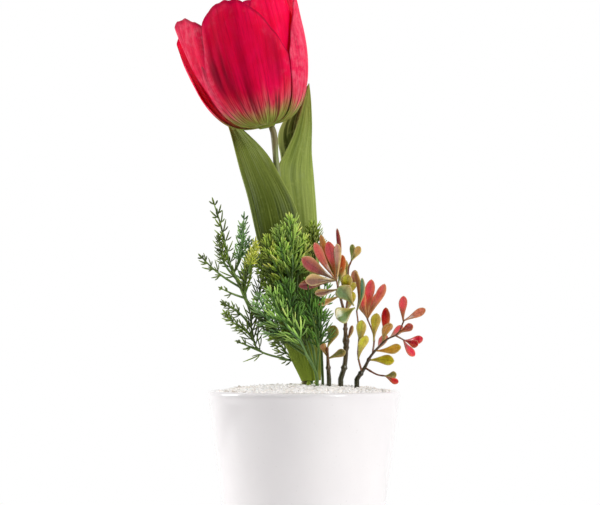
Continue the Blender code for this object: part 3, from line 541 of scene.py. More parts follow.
def petal_points(petal, u, v, seed):
    """Radius and height follow a cubic curve from the base, out and up to the tip, over t, the height
    share. t is v times the petal's top line, which waves a little. An inner petal leaves the outer
    ones a little above the foot. Relief along the normal: wide folds, narrower creases and a fine
    crinkle, all fanning from the base because u is an angle."""
    middle, half_width, height, tip, inset, openings, _, feet = petal
    share = (u + 1) / 2
    wave = 0.010 * smooth_noise(share, 0 * v, 9, 1, seed + 5) \
        + 0.006 * smooth_noise(share, 0 * v, 23, 1, seed + 6)
    t = v * (petal_top(petal, u) + wave * ease(v, 0.7, 1.0))
    corners = np.array([(2.5, 2.0), (27.0, -3.0), (34.0, 0.48 * height), (tip, height)])
    weights = np.stack([(1 - t) ** 3, 3 * (1 - t) ** 2 * t, 3 * (1 - t) * t * t, t**3], -1)
    slopes = np.stack([(1 - t) ** 2, 2 * (1 - t) * t, t * t], -1) @ np.diff(corners, axis=0)
    profile = weights @ corners
    normal = unit(np.stack([-slopes[..., 1], slopes[..., 0]], -1))
    folds = smooth_noise(share, t, 5, 2, seed) * 0.75 * ease(t, 0.15, 0.6)
    creases = smooth_noise(share, t, 15, 3, seed + 1) * 0.34 * ease(t, 0.05, 0.3)
    crinkle = smooth_noise(share, t, 42, 6, seed + 2) * 0.13 * ease(t, 0.02, 0.2)
    ruffle = smooth_noise(share, t, 11, 4, seed + 3) * 0.9 * ease(v, 0.72, 1.0)
    relief = folds + creases + crinkle + ruffle
    depth = inset * (0.2 + 0.8 * ease(t, 0.05, 0.32))
    profile = profile + normal * (depth - relief)[..., None]
    side = np.clip((u + 0.2) / 1.2, 0, 1)
    opening = blend(*openings, side)
    radius = profile[..., 0] + opening * t**2.5 - 1.2 * u * u * t
    foot_share = np.where(u < 0, feet[0], feet[1])
    width = half_width * (foot_share + (1 - foot_share) * np.minimum(1.0, t / 0.55))
    angle = np.radians(middle + width * u)
    return np.stack([radius * np.cos(angle), radius * np.sin(angle), profile[..., 1]], -1)


# %% What is printed on the petals, and their painted rim shade and highlight
# Each petal: pink of its left, right and top margins and of its whole face, where its dark fan starts,
# how far that leans sideways and how dark it is
PRINTS = {
    "front": (1.0, 0.12, 0.15, 0.03, 0.12, -0.95, 1.06),
    "right": (0.9, 0.4, 0.4, 0.36, 0.05, 0.10, 0.45),
    "left": (0.0, 0.0, 0.1, 0.0, 0.0, 0.0, 0.15),
    "inner_right": (0.2, 0.3, 0.15, 0.08, 0.35, 0.40, 0.50),
    "inner_back": (0.5, 0.5, 0.3, 0.15, 0.0, 0.0, 0.7),
    "inner_left": (0.9, 0.6, 0.5, 0.50, 0.10, 0.40, 0.45),
}


def petal_print_and_painted_light(name, u, v, t, seed):
    """How pink, dark and green a petal is at each point, from 0 to 1. Pink follows the margins. Dark is
    a fan that starts at the foot, leans as start + lean * t^2 and grows as t^2, in streaks that run to
    the base, a weak cloud near the right shoulder and a faint shade. These spare a bright wedge, which is
    a painted highlight, and a thin dark rim is added as painted shade. Green is the foot, with a ragged
    upper line."""
    left, right, top, whole, start, lean, depth = PRINTS[name]
    share = (u + 1) / 2
    streak = ease(smooth_noise(share, 0.4 * t, 24, 2, seed + 20), -0.5, 0.6)
    ragged = smooth_noise(share, t, 13, 3, seed + 21)
    cloud = smooth_noise(share, t, 5, 4, seed + 22)
    margin = left * ease(-u, 0.40, 0.84) + right * ease(u, 0.42, 0.90) * ease(t, 0.3, 0.6)
    pink = margin + top * ease(v, 0.80, 1.0) + whole * (1 + 0.8 * cloud)
    wide = 0.13 + 0.56 * t * t
    main = hump(u - start, lean * t * t, wide) * ease(t, 0.10, 0.34)
    main = main * (1 - ease(t - 0.14 * streak, 0.56, 0.82))
    second = 0.42 * hump(u, 0.68, 0.16) * ease(t, 0.4, 0.6) * (1 - ease(t, 0.74, 0.92))
    # The bright wedge is a painted highlight: the dark is spared there
    wedge = hump(u, 0.36, 0.20) * ease(t, 0.25, 0.40) * (1 - ease(t, 0.80, 0.95))
    # Painted shade: a thin dark line along the top edge
    rim = 0.7 * ease(v, 0.972, 1.0)
    deep = depth * (main * (0.22 + streak) + second + 0.14 * streak + 0.10) * (1 - 0.85 * wedge) + rim
    green = 1 - ease(t + 0.03 * ragged + 0.04 * (streak - 0.5) - 0.03 * ease(u, 0.6, 0.95), 0.17, 0.55)
    return np.clip(np.stack([pink, deep, green], -1), 0, 1)


# %% The petals and the knob that they stand on
def petal_part(name, seed):
    """One petal as a thin closed sheet, thinner towards its rim."""
    v, u = np.meshgrid(np.linspace(0, 1, PETAL_ROWS), np.linspace(-1, 1, PETAL_COLUMNS), indexing="ij")
    grid = in_bloom(petal_points(PETALS[name], u, v, seed))
    half = 0.10 + 0.20 * ease(1 - np.abs(u), 0.0, 0.12) * ease(1 - v, 0.0, 0.10)
    t = v * petal_top(PETALS[name], u)
    tint = np.concatenate([petal_print_and_painted_light(name, u, v, t, seed), np.zeros((*u.shape, 1))], -1)
    place = np.stack([(u + 1) / 2, t], -1)
    return sheets(grid[None], half[None], tint[None], place[None])


def receptacle():
    """The green knob that the petals stand on: a small cup turned round the bloom's axis."""
    z = np.linspace(0, 1, 9)
    outline = np.stack([4.0 + 2.2 * z**0.7, 0.2 + 5.2 * z], 1)
    outline = np.vstack([[0.02, 0.2], outline, [0.02, 5.4]])
    points, faces, _, _ = turned(outline, 32)
    return part(in_bloom(points), [block[:, ::-1] for block in faces], (0.0, 0.2, 1.0, 0.0))


# %% [markdown]
# ## The petals' fabric
# The cloth is printed: crimson, with hot pink margins, a dark fan of streaks and an olive foot that
# turns to rose, crossed by thin dark lines. The dark zone also holds a thin dark rim, which is painted
# shade, and spares a bright wedge, which is a painted highlight. The three zones come from the petal's
# own colour attribute, and noise drawn out along the petal frays them. The weave of the cloth is a fine
# bump, and a little light goes through it.

# %% The zones of the print, with its painted shade and highlight, and the noise that frays them
cloth = Finish("petal cloth")
zones = cloth.node("SeparateColor", {0: cloth.own()})
pink_zone, dark_zone, green_zone = (zones.outputs[name] for name in ("Red", "Green", "Blue"))
streak = cloth.noise(cloth.places((12.0, 0.9, 1.0), surface=True), 1.0, 2.5, 0.5, 0.2)
fibre = cloth.noise(cloth.places((60.0, 5.0, 1.0), surface=True), 1.0, 3.0, 0.6)
thread = cloth.noise(cloth.places((44.0, 1.2, 1.0), surface=True), 1.0, 1.0, 0.4, 0.3)
cloudy = cloth.noise(cloth.places(), 85.0, 2.0)
mottle = cloth.noise(cloth.places(), 230.0, 4.0, 0.65)


def frayed(zone, noise, reach, low, high):
    """A zone whose edge is moved in and out by noise: zone + reach * (noise - 0.5), from low to high."""
    moved = cloth.math("ADD", zone, cloth.math("MULTIPLY", cloth.math("SUBTRACT", noise, 0.5), reach))
    return cloth.rise(moved, low, high)


def dyed(noise, low, high, first, second):
    """A colour that goes from a first to a second one as a noise goes from low to high."""
    return cloth.mix(cloth.rise(noise, low, high), colour(*first), colour(*second))


# %% The petals' finish
crimson = dyed(cloudy, 0.36, 0.62, (246, 0, 60), (255, 6, 78))
pink = dyed(mottle, 0.40, 0.66, (244, 30, 80), (250, 92, 118))
dark = dyed(streak, 0.40, 0.60, (98, 0, 28), (164, 0, 46))
rose = dyed(fibre, 0.40, 0.60, (158, 48, 54), (222, 116, 116))
olive = dyed(fibre, 0.40, 0.60, (104, 112, 40), (150, 164, 74))
threads = cloth.math("MULTIPLY", cloth.rise(thread, 0.56, 0.64, 0.75),
                     cloth.rise(green_zone, 0.05, 0.45))
cloth.set({
    "Base Color": cloth.layers(
        crimson,
        (frayed(pink_zone, mottle, 0.9, 0.15, 0.85), pink),
        # The dark print, together with the painted shade of the rim
        (frayed(dark_zone, streak, 1.1, 0.10, 0.95), dark),
        (cloth.ramp(fibre, (0.34, 0.30), (0.52, 0.0)), colour(160, 0, 36)),
        (frayed(green_zone, streak, 0.5, 0.05, 0.80), rose),
        (frayed(green_zone, fibre, 0.4, 0.48, 1.06), olive),
        (threads, colour(98, 30, 38))),
    "Roughness": cloth.spread(mottle, 0.52, 0.72),
    "Specular IOR Level": 0.05,
    "Subsurface Weight": 0.30,
    "Subsurface Radius": (0.004, 0.0006, 0.0012),
    "Subsurface Scale": 1.0,
})
warp, weft = (cloth.node("TexWave", {"Vector": cloth.places(), "Scale": 900.0, "Distortion": 1.0},
                         bands_direction=direction).outputs["Fac"] for direction in "XZ")
weave = cloth.math("MULTIPLY", cloth.math("ADD", warp, weft), 0.15)
cloth.bump(cloth.math("ADD", cloth.math("ADD", fibre, weave), mottle), 0.16)
bloom = join([receptacle()] + [petal_part(name, 40 + 10 * k) for k, name in enumerate(PETALS)])
add_piece("bloom_petals", bloom, cloth.material, "tulip_bloom")

# %% [markdown]
# ## Inside the cup
# From above one sees the pistil with its three-part head and six dark stamens. They are rods that
# swell and narrow along their length.

# %% Pistil and stamens
KNOB_TOP, PISTIL_LENGTH = 6.1, 20.5


def swell(start, end, count, widest, power=0.8):
    """A rod between two points of the bloom: its radius is widest * (0.25 + 0.75 sin(pi s)^power)."""
    s = np.linspace(0, 1, count)
    path = in_bloom(np.array(start) + s[:, None] * (np.array(end, float) - np.array(start)))
    return path, widest * (0.25 + 0.75 * np.sin(math.pi * s) ** power)


def flower_centre():
    """The pistil, the lobes of its head, and thin filaments with fat anthers in a ring."""
    pale, dark, yellow = light_of(170, 178, 96), light_of(38, 26, 30), light_of(196, 176, 70)
    s = np.linspace(0, 1, 12)
    stalk = in_bloom(np.stack([0 * s, 0 * s, KNOB_TOP + PISTIL_LENGTH * s], 1))
    parts = [pipe(stalk, 3.0 - 0.5 * s, 20, pale)]
    for turn in np.arange(3) * math.tau / 3:
        x, y = math.cos(turn), math.sin(turn)
        path, radius = swell((0, 0, KNOB_TOP + 19.5), (3.4 * x, 3.4 * y, KNOB_TOP + 22.8), 10, 1.9)
        parts.append(pipe(path, radius, 14, yellow))
    for turn in (np.arange(6) + 0.5) * math.tau / 6:
        x, y = math.cos(turn), math.sin(turn)
        path, radius = swell((x, y, KNOB_TOP + 1.0), (6.2 * x, 6.2 * y, KNOB_TOP + 9.5), 8, 0.6, 0.2)
        parts.append(pipe(path, radius, 10, pale))
        path, radius = swell((5.8 * x, 5.8 * y, KNOB_TOP + 8.2), (7.5 * x, 7.5 * y, KNOB_TOP + 19.2),
                             12, 1.25, 0.5)
        parts.append(pipe(path, radius, 14, dark))
    return join(parts)


pollen = Finish("pollen")
dust = pollen.noise(pollen.places(), 1400.0, 3.0)
pollen.set({
    "Base Color": pollen.own_times(pollen.spread(dust, 0.55, 1.15)),
    "Roughness": pollen.spread(dust, 0.65, 0.95),
})
pollen.bump(dust, 0.15)
add_piece("stamens_and_pistil", flower_centre(), pollen.material, "flower_centre")

# %% [markdown]
# ## Stems
# The flower's stem is moulded, faintly ribbed, grey-green with brown and pale streaks that run along
# it. It bends gently to the left and meets the bloom's base square on.

# %% The tulip's stem
STEM_RADIUS, STEM_LENGTH = 1.62, 135.0


def stem_path():
    """From the foam straight up to just over the gravel, then a smooth bend to the bloom."""
    x, y, _ = STEMS["tulip_stem"]
    ends = in_bloom(np.array([(2.4, 0, -6.0), (2.4, 0, -0.1)]))
    bend_points = rail([(x, y, STEM_CLEAR), (x - 5.2, y, 132), (x - 13.9, y, 199), *ends], 60)
    return np.vstack([straight_foot("tulip_stem"), bend_points])


# The stem's colour, as light, is a little greener towards the bloom
path = stem_path()
height = (path[:, 2:] - POT_HEIGHT) / STEM_LENGTH
shade = np.array([0.21, 0.24, 0.075, 0.0]) + np.array([0.01, 0.05, 0.02, 0.0]) * height
stem_parts = pipe(path, STEM_RADIUS + 0.1 * np.sin(path[:, 2] * 0.35), 20, shade)
stem = Finish("moulded stem")
lines = stem.noise(stem.places((1, 1, 0.05)), 1500.0, 3.0)
patch = stem.noise(stem.places((1, 1, 0.3)), 160.0, 3.0)
stem.set({
    "Base Color": stem.mix(stem.rise(patch, 0.42, 0.60, 0.8),
                           stem.own_times(stem.spread(lines, 0.6, 1.5)), colour(112, 88, 54)),
    "Roughness": stem.spread(lines, 0.35, 0.6),
})
stem.bump(lines, 0.12)
add_piece("flower_stem", stem_parts, stem.material, "tulip_stem")

# %% [markdown]
# ## The two broad leaves
# Each leaf is a channel: a blade between two margins, bent along a line between them. Three smooth
# rails give those lines, and a parabola through the three gives every point between. Parallel veins
# are real ridges, and the print runs along them.

# %% The leaves' form
LEAF_RAILS = {
    "leaf_left": (
        [(-1.4, -5.6, 95.2), (-8.6, -5.8, 112), (-17.8, -6.0, 141), (-24.4, -5.0, 168), (-29.1, -2.0, 189),
         (-33.7, 4.5, 206), (-37.7, 13.0, 221), (-41.4, 21.5, 234)],
        [(2.4, -7.2, 95.2), (-1.5, -8.2, 112), (-7.0, -8.8, 139), (-11.6, -8.8, 164), (-16.8, -7.0, 187),
         (-23.6, 0.0, 204), (-31.0, 10.0, 219), (-41.2, 21.3, 234.2)],
        [(6.2, -6.4, 95.2), (5.6, -6.7, 112), (4.0, -6.6, 137), (1.8, -6.4, 160), (-4.2, -5.0, 184),
         (-12.8, -3.8, 201), (-22.0, 1.6, 215), (-41.0, 21.1, 234.4)],
    ),
    "leaf_right": (
        [(3.8, 3.2, 95.2), (0.5, 2.9, 116), (-4.5, 3.2, 148), (-9.8, 3.6, 180), (-13.4, 5.0, 203),
         (-10.0, 10.0, 213), (-4.8, 16.0, 225), (2.6, 26.0, 250.6)],
        [(8.3, 3.6, 95.2), (8.5, 5.0, 116), (7.6, 7.0, 148), (6.2, 9.0, 180), (4.8, 12.0, 199),
         (3.6, 16.0, 214), (3.4, 20.0, 230), (2.8, 26.4, 250.8)],
        [(6.4, 6.0, 95.2), (4.6, 9.6, 116), (0.5, 14.0, 148), (-4.5, 17.6, 180), (-9.5, 20.0, 197),
         (-12.2, 23.0, 212), (-12.6, 25.6, 227), (2.7, 27.0, 251.0)],
    ),
}
LEAF_ROWS, LEAF_COLUMNS, STALK_END = 170, 61, 16


def leaf_parts(name, seed):
    """The blade: near * u(u-1)/2 + middle * (1-u^2) + far * u(u+1)/2, raised along its normal by the
    veins, 0.1 mm * cos(17 pi u), and by a slow waver. The stalk runs from the foam into it."""
    near, middle, far = (rail(points, LEAF_ROWS)[:, None] for points in LEAF_RAILS[name])
    v, u = np.meshgrid(np.linspace(0, 1, LEAF_ROWS), np.linspace(-1, 1, LEAF_COLUMNS), indexing="ij")
    w = u[..., None]
    grid = near * w * (w - 1) / 2 + middle * (1 - w * w) + far * w * (w + 1) / 2
    normal = unit(np.cross(np.gradient(grid, axis=1), np.gradient(grid, axis=0)))
    veins = 0.10 * np.cos(17 * math.pi * u) + 0.25 * smooth_noise((u + 1) / 2, v, 9, 3, seed)
    waver = 0.5 * smooth_noise((u + 1) / 2, v, 2, 7, seed + 1) * np.abs(u)
    relief = (veins + waver) * ease(v, 0.0, 0.1) * ease(1 - v, 0.0, 0.08)
    grid = grid + normal * relief[..., None]
    half = 0.12 + 0.26 * ease(1 - np.abs(u), 0.0, 0.10) * ease(1 - v, 0.0, 0.04)
    tint = np.broadcast_to(PLAIN, (1, *u.shape, 4))
    blade = sheets(grid[None], half[None], tint, np.stack([(u + 1) / 2, v], -1)[None])
    x, y, radius = STEMS[name]
    low = (near[0, 0] + far[0, 0]) / 2 * 0.4 + middle[0, 0] * 0.6
    path = np.vstack([straight_foot(name), rail([(x, y, STEM_CLEAR - 2), low, middle[STALK_END, 0]], 16)])
    return join([pipe(path, np.linspace(radius, 0.35, len(path)), 14), blade])


# %% The leaves' cloth
def leaf_finish(name, shades, tip_light):
    """Printed cloth leaf: dark veins and pale streaks along it, a pale tip, a yellow-green root and
    another green on the reverse. Both margins are lighter as a painted highlight, and the right leaf's
    dark reverse is partly painted shade."""
    leaf = Finish(name)
    face, shadow, light, reverse, root = (colour(*shade) for shade in shades)
    spot = leaf.node("SeparateXYZ", {0: leaf.places(surface=True)})
    across, along = spot.outputs["X"], spot.outputs["Y"]
    streak = leaf.noise(leaf.places((13.0, 1.6, 1.0), surface=True), 1.0, 3.0, 0.6, 0.3)
    fine = leaf.noise(leaf.places((90.0, 4.0, 1.0), surface=True), 1.0, 3.0, 0.6)
    mottle = leaf.noise(leaf.places(), 300.0, 4.0, 0.65)
    off_middle = leaf.math("MULTIPLY", leaf.math("ABSOLUTE", leaf.math("SUBTRACT", across, 0.5)), 2.0)
    leaf.set({
        "Base Color": leaf.layers(
            face,
            # The reverse: for the right leaf, partly painted shade inside its channel
            (leaf.own("Alpha"), reverse),
            (leaf.ramp(streak, (0.36, 0.85), (0.52, 0.0)), shadow),
            (leaf.rise(streak, 0.56, 0.66, 0.75), light),
            (leaf.ramp(fine, (0.40, 0.5), (0.55, 0.0)), shadow),
            (leaf.rise(mottle, 0.55, 0.75, 0.35), light),
            # Painted highlight: both margins lighter, as where a bent margin meets the light
            (leaf.rise(off_middle, 0.93, 0.985, 0.7), light),
            (leaf.rise(along, 0.55, 0.85, tip_light), light),
            (leaf.ramp(along, (0.04, 0.9), (0.26, 0.0)), root)),
        "Roughness": leaf.spread(mottle, 0.40, 0.62),
        "Specular IOR Level": 0.2,
    })
    leaf.bump(leaf.math("ADD", leaf.math("MULTIPLY", fine, 0.8), mottle), 0.10)
    return leaf.material


# Each leaf: its seed, what its finish is called, how light its tip is, and its colours: the face, its
# shadows and lights, the reverse and the root
LEAVES = {
    "left": (5, "dark", 0.85,
             ((96, 110, 34), (62, 78, 20), (146, 160, 72), (74, 88, 28), (146, 168, 54))),
    # The right leaf's dark reverse is partly the leaf's own darker side and partly painted shade
    "right": (9, "pale", 0.0,
              ((148, 164, 72), (108, 124, 46), (174, 186, 104), (66, 76, 22), (138, 150, 60))),
}
for side, (seed, tone, tip_light, shades) in LEAVES.items():
    add_piece("broad_leaf_" + side, leaf_parts("leaf_" + side, seed),
              leaf_finish(tone + " leaf cloth", shades, tip_light), "leaf_" + side)

# %% [markdown]
# ## Cut-leaved greenery
# A frond has an arched rib with leaflets on both sides, turned alike as slats are. A leaflet is cut
# into slim lobes that fork off its middle one. One lobe is a flat needle, so all the leaflets of one
# side are one array: leaflets by lobes by stations by six corners. The moulding is green with lighter
# tips, and fronds differ from yellow-green to blue-green. The leaflets' darker roots are partly painted
# shade, and a dark green called shade paints the shade on fronds set behind the others.

# %% The greens and the branches
# Greens: at a leaflet's root, at its tip and on the rib. The darker root greens are partly painted
# shade, and the green called shade is painted shade on filling fronds set behind the others.
GREENS = {
    "dark": ((66, 84, 24), (136, 158, 56), (158, 186, 100)),
    "shade": ((36, 62, 12), (112, 134, 38), (84, 108, 48)),
    "blue": ((76, 122, 66), (168, 206, 142), (150, 190, 140)),
    "leaf": ((38, 84, 20), (112, 160, 56), (100, 150, 84)),
    "bright": ((66, 128, 48), (200, 240, 128), (170, 214, 160)),
    "fresh": ((86, 146, 50), (220, 252, 124), (180, 222, 164)),
    "yellow": ((222, 240, 66), (252, 254, 124), (170, 200, 80)),
    "lemon": ((72, 128, 30), (226, 246, 104), (150, 196, 116)),
    "olive": ((66, 84, 18), (148, 168, 58), (100, 122, 50)),
}
# Each branch: path, pairs of leaflets in the solid model, leaflet length, bare share, greens
SPRIGS = {
    "fern_left": [
        ([(0.5, -3.2, 102), (-7, -3.4, 111), (-17, -7, 122), (-26.8, -10, 131.5), (-33, -10.5, 144.4),
          (-38, -10, 155), (-40.7, -9, 166), (-43, -7, 176), (-46.2, -5, 186)], 5, 8, 0.58, "dark"),
        ([(-32.6, -10.4, 143), (-40.7, -11, 148), (-46.9, -12, 153), (-51.5, -12.5, 157.5)],
          2, 6.5, 0.36, "dark"),
        ([(-30.2, -10.2, 137.5), (-36, -12.5, 139.5), (-41.5, -14, 142)], 1, 5, 0.45, "dark"),
        ([(-36, -10.2, 150.5), (-32.6, -5, 158), (-31.4, -2, 168), (-31, 0, 178)], 3, 7.5, 0.27, "blue"),
        ([(-30.6, -10.3, 138.5), (-27.5, -12, 148), (-26.5, -12.5, 156), (-25, -12.5, 165)],
          2, 7, 0.42, "yellow"),
        ([(-1.2, -3.2, 104), (-6.5, -3.6, 105.6), (-10, -5.2, 106.4), (-22.4, -10.2, 110.4),
          (-26.2, -10.5, 117.5), (-27, -10.5, 125), (-26.4, -10.5, 132)], 5, 11, 0.46, "dark"),
        ([(-21.8, -10.1, 110.2), (-27, -11, 112.4), (-32.4, -12, 114.8)], 1, 5, 0.35, "dark"),
    ],
    "fern_centre": [
        ([(4.4, -10.8, 112), (-1.5, -12, 128), (-6, -14.5, 144), (-5.7, -15.5, 155), (-6.7, -16, 165),
          (-7.3, -16, 175)], 5, 11.5, 0.55, "fresh"),
        ([(-3.2, -12.8, 133), (-10, -14.5, 145), (-16, -15.5, 157), (-18.5, -15, 166)],
          4, 8.5, 0.36, "lemon"),
        ([(-1.8, -12.1, 128.6), (-9, -14, 134), (-18, -14, 142)], 2, 9, 0.4, "dark"),
    ],
    "fern_front": [
        ([(5.4, -15, 101), (1.6, -17.5, 108), (-1.8, -19.5, 115), (-8.4, -21.5, 123), (-12.6, -22, 130),
          (-16, -22, 138)], 5, 12, 0.46, "bright"),
        ([(0.2, -18.4, 110.8), (-9, -19, 117), (-18, -19.5, 126), (-22, -19.5, 136)], 3, 10, 0.42, "blue"),
        ([(6.3, -13.4, 98.4), (7.4, -15.5, 112), (7.2, -16.2, 123), (6.8, -16.2, 134)],
          5, 11, 0.3, "leaf"),
    ],
    "fern_back": [
        ([(8.8, -5.2, 116), (7.8, -8.6, 140), (5.6, -11.2, 158), (4.2, -11.4, 173)], 4, 9, 0.74, "olive"),
    ],
    "fern_rear": [
        ([(-2, 13, 112), (-11, 19, 138), (-15, 23, 157)], 4, 10, 0.42, "leaf"),
        ([(3.3, 9.6, 98), (5, 16, 112), (9, 22, 130), (11, 25, 144)], 3, 9, 0.35, "leaf"),
        ([(2.4, 9.8, 99), (-6, 16, 106), (-15, 20, 116)], 2, 8, 0.42, "dark"),
    ],
}

# %% How leaflets and fronds grow
SLAT_TURN = math.radians(42)
# Lobes of a leaflet of length 1: start and end along and across it, and width in millimetres. A
# sparser leaflet has only the first of them
LOBES = np.array([(0.00, 0.00, 1.00, 0.00, 1.10), (0.14, 0.02, 0.56, 0.34, 1.00),
                  (0.24, -0.02, 0.64, -0.34, 1.00), (0.46, 0.02, 0.86, 0.26, 0.95),
                  (0.54, -0.02, 0.92, -0.24, 0.90)])
# How each sprig grows: leaflets for each one of the solid model, lobes of a leaflet, how wide a lobe
# is beside the ones above, and the leaflets' angle to the rib at its foot and tip, in degrees
HABITS = {
    "fern_left": (1.4, 3, 0.80, 46, 28), "fern_centre": (1.2, 5, 1.05, 48, 30),
    "fern_front": (1.2, 5, 1.05, 48, 30), "fern_back": (1.4, 5, 0.85, 48, 32),
    "fern_rear": (1.3, 5, 0.9, 48, 32),
}
# Radius of each sprig's main stalk above the chips, of its side stalks and of a stalk's end
STALKS = {"fern_left": 1.2, "fern_centre": 0.7, "fern_front": 0.75, "fern_back": 0.7, "fern_rear": 0.8}
SIDE_STALK, STALK_TIP = 0.6, 0.32

# %% Branches that only fill a sprig out, between the ones of the solid model
# Fronds in the green called shade are darkened as painted shade where they stand behind the others
FILLING = {
    "fern_left": [
        ([(-28.2, -14.5, 150), (-26.8, -16, 157), (-24.8, -16.5, 164)], 4, 5.5, 0.25, "yellow"),
        ([(-34, -7, 155), (-32.4, -4, 163), (-31.6, -2, 174)], 4, 6, 0.1, "blue"),
        ([(-25.5, -10.5, 116), (-30, -11, 121), (-36, -11.5, 125), (-39.5, -12, 129)], 4, 6, 0.2, "dark"),
        ([(-27, -10.5, 123), (-32, -11, 129), (-37, -11.5, 132.5), (-40.5, -12, 134.5)],
          3, 5, 0.3, "dark"),
        ([(-34.5, -10.4, 147), (-40, -10, 154), (-42.5, -10, 161), (-43.5, -10, 168)],
          4, 5.5, 0.35, "dark"),
        ([(-31.6, -10.4, 141), (-30, -9, 150), (-28.4, -8, 158), (-28.2, -8, 166)], 4, 6.5, 0.15, "blue"),
        ([(-25.5, -9.8, 129), (-23.6, -10.6, 137), (-21.8, -11.2, 145), (-19.8, -11.2, 152)],
          4, 6.5, 0.25, "dark"),
        ([(-29.6, -10.2, 136.5), (-30.2, -12, 143), (-29.6, -13, 149), (-28.2, -13.4, 154)],
          4, 5.5, 0.2, "olive"),
    ],
    "fern_centre": [
        ([(-1.5, -11.6, 128), (-8, -12, 140), (-11.5, -12.4, 150), (-12.5, -12.4, 161)],
          4, 9.5, 0.35, "shade"),
        ([(-3.2, -12.2, 133), (-3.6, -12.8, 146), (-2, -13.2, 157), (-1.4, -13.2, 166)],
          4, 9, 0.35, "fresh"),
        ([(-6, -14.5, 144), (-9.5, -16, 154), (-12, -16.6, 163), (-13, -16.6, 171)], 4, 8, 0.3, "fresh"),
        ([(-1.8, -12.4, 128.6), (-6, -13.8, 137), (-12.5, -14.2, 146), (-16.5, -14.2, 153)],
          4, 8.5, 0.35, "shade"),
        ([(-9, -14, 134), (-15.5, -14.6, 142), (-20.5, -14.6, 150), (-24, -14, 158)],
          5, 6.5, 0.25, "dark"),
    ],
    "fern_front": [
        ([(1.6, -17.5, 108), (-3, -20.5, 120), (-7, -22, 133), (-8.8, -22, 142)], 5, 10.5, 0.38, "leaf"),
        ([(7.3, -15.5, 112), (5, -17.5, 124), (2.6, -18.2, 134), (1.8, -18.2, 143)], 5, 9.5, 0.3, "leaf"),
        ([(1.6, -16.5, 108), (-7, -17.5, 114), (-15, -18, 121), (-20, -18, 127)], 4, 9, 0.35, "shade"),
        ([(5.4, -14.5, 101), (2, -15.5, 112), (-1, -16, 124), (-3, -16.2, 134)], 4, 9.5, 0.35, "shade"),
    ],
}


# %% A leaflet's lobes
def turn_about(vector, axis, angle):
    """A vector turned about a unit axis: v cos a + (axis x v) sin a + axis (axis . v)(1 - cos a)."""
    dot = (vector * axis).sum(-1, keepdims=True)
    swung = vector * math.cos(angle) + np.cross(axis, vector) * math.sin(angle)
    return swung + axis * dot * (1 - math.cos(angle))


def leaflets(roots, along, slat, lift, size, lobes, root_colour, tip_colour, rng):
    """All lobes of many leaflets. A lobe's middle line, at a place (a, b) of the leaflet, is root +
    size * (a along + b slat + arch a^2 lift - 0.35 b^2 face); its width swells and then narrows."""
    count = len(roots)
    s = np.linspace(0, 1, 6)
    jitter = rng.normal(0, 0.05, (count, len(lobes), 2))
    jitter[:, 0] *= 0.5
    ends = lobes[None, :, 2:4] + jitter
    starts = np.broadcast_to(lobes[None, :, 0:2], ends.shape)
    a = starts[..., :1] + (ends[..., :1] - starts[..., :1]) * s**1.1
    b = starts[..., 1:] + (ends[..., 1:] - starts[..., 1:]) * s**0.8
    size = size[:, None, None, None]

    def every_lobe(direction):
        return direction[:, None, None, :]

    face = unit(np.cross(along, slat))
    arch = rng.uniform(0.10, 0.28, (count, 1, 1, 1))
    centres = every_lobe(roots) + size * (
        a[..., None] * every_lobe(along) + b[..., None] * every_lobe(slat)
        + arch * a[..., None] ** 2 * every_lobe(lift) - 0.35 * b[..., None] ** 2 * every_lobe(face))
    heading = unit(np.gradient(centres, axis=2))
    up = unit(every_lobe(face) - heading * (every_lobe(face) * heading).sum(-1, keepdims=True))
    across = np.cross(heading, up)
    width = lobes[None, :, 4:5] / 2 * np.array([0.62, 0.78, 1.0, 1.06, 0.92, 0.35])
    width = np.broadcast_to(width, (count, len(lobes), 6)) * rng.uniform(0.85, 1.15, (count, 1, 1))
    share = np.clip(a, 0, 1)
    lean = np.clip(0.05 + 1.05 * share + rng.normal(0, 0.12, (count, 1, 1)), 0, 1.15)[..., None]
    # From the root green, darker partly as painted shade, to the lighter tip green
    tint = blend(root_colour, tip_colour, lean) * rng.uniform(0.55, 1.40, (count, 1, 1, 1))
    tint = np.minimum(tint * rng.uniform(0.6, 1.5, (*centres.shape[:2], 1, 1)), 0.95)
    flat = (count * len(lobes), 6)
    return rods(centres.reshape(*flat, 3), across.reshape(*flat, 3), up.reshape(*flat, 3),
                width.reshape(flat), width.reshape(flat) * 0.6, 6, tint.reshape(*flat, 4))


# %% A frond and a whole sprig
def frond(path, pairs, length, start, roll, greens, habit, rng):
    """The leaflets of a frond, more of them than the solid model has, from the end of its bare share
    to its tip. They stand by turns on the two sides, turned like slats, with one at the tip."""
    fine = rail(path, 201)
    root_colour, tip_colour = (light_of(*shade) for shade in GREENS[greens][:2])
    density, kept, wider, angle_low, angle_high = habit
    lobes = LOBES[:kept] * np.array([1, 1, 1, 1, wider])
    number = int(round(pairs * density))
    parts = []
    for sign in (-1, 1):
        middles = start + (0.96 - start) * (np.arange(number) + 0.4 + 0.2 * sign) / number
        middles = np.append(middles, 0.985)
        here = np.minimum((middles * 200).astype(int), 199)
        tangent = unit(fine[here + 1] - fine[here])
        side = turn_about(unit(np.cross(tangent, FRONT)), tangent, roll)
        normal = np.cross(side, tangent)
        share = (middles - start) / (1 - start)
        angle = angle_low + (angle_high - angle_low) * share + rng.normal(0, 5, len(share))
        angle = np.radians(angle)[:, None]
        along = tangent * np.cos(angle) + side * (sign * np.sin(angle))
        across = tangent * np.sin(angle) - side * (sign * np.cos(angle))
        slat = across * math.cos(SLAT_TURN) + normal * math.sin(SLAT_TURN)
        size = length * (1 - 0.30 * share) * rng.uniform(0.80, 1.12, len(share))
        parts.append(leaflets(fine[here][:-1], along[:-1], slat[:-1], unit(tangent + normal * 0.4)[:-1],
                              size[:-1], lobes, root_colour, tip_colour, rng))
    parts.append(leaflets(fine[here][-1:], tangent[-1:], side[-1:], normal[-1:],
                          np.array([length * 0.62]), lobes, root_colour, tip_colour, rng))
    return parts


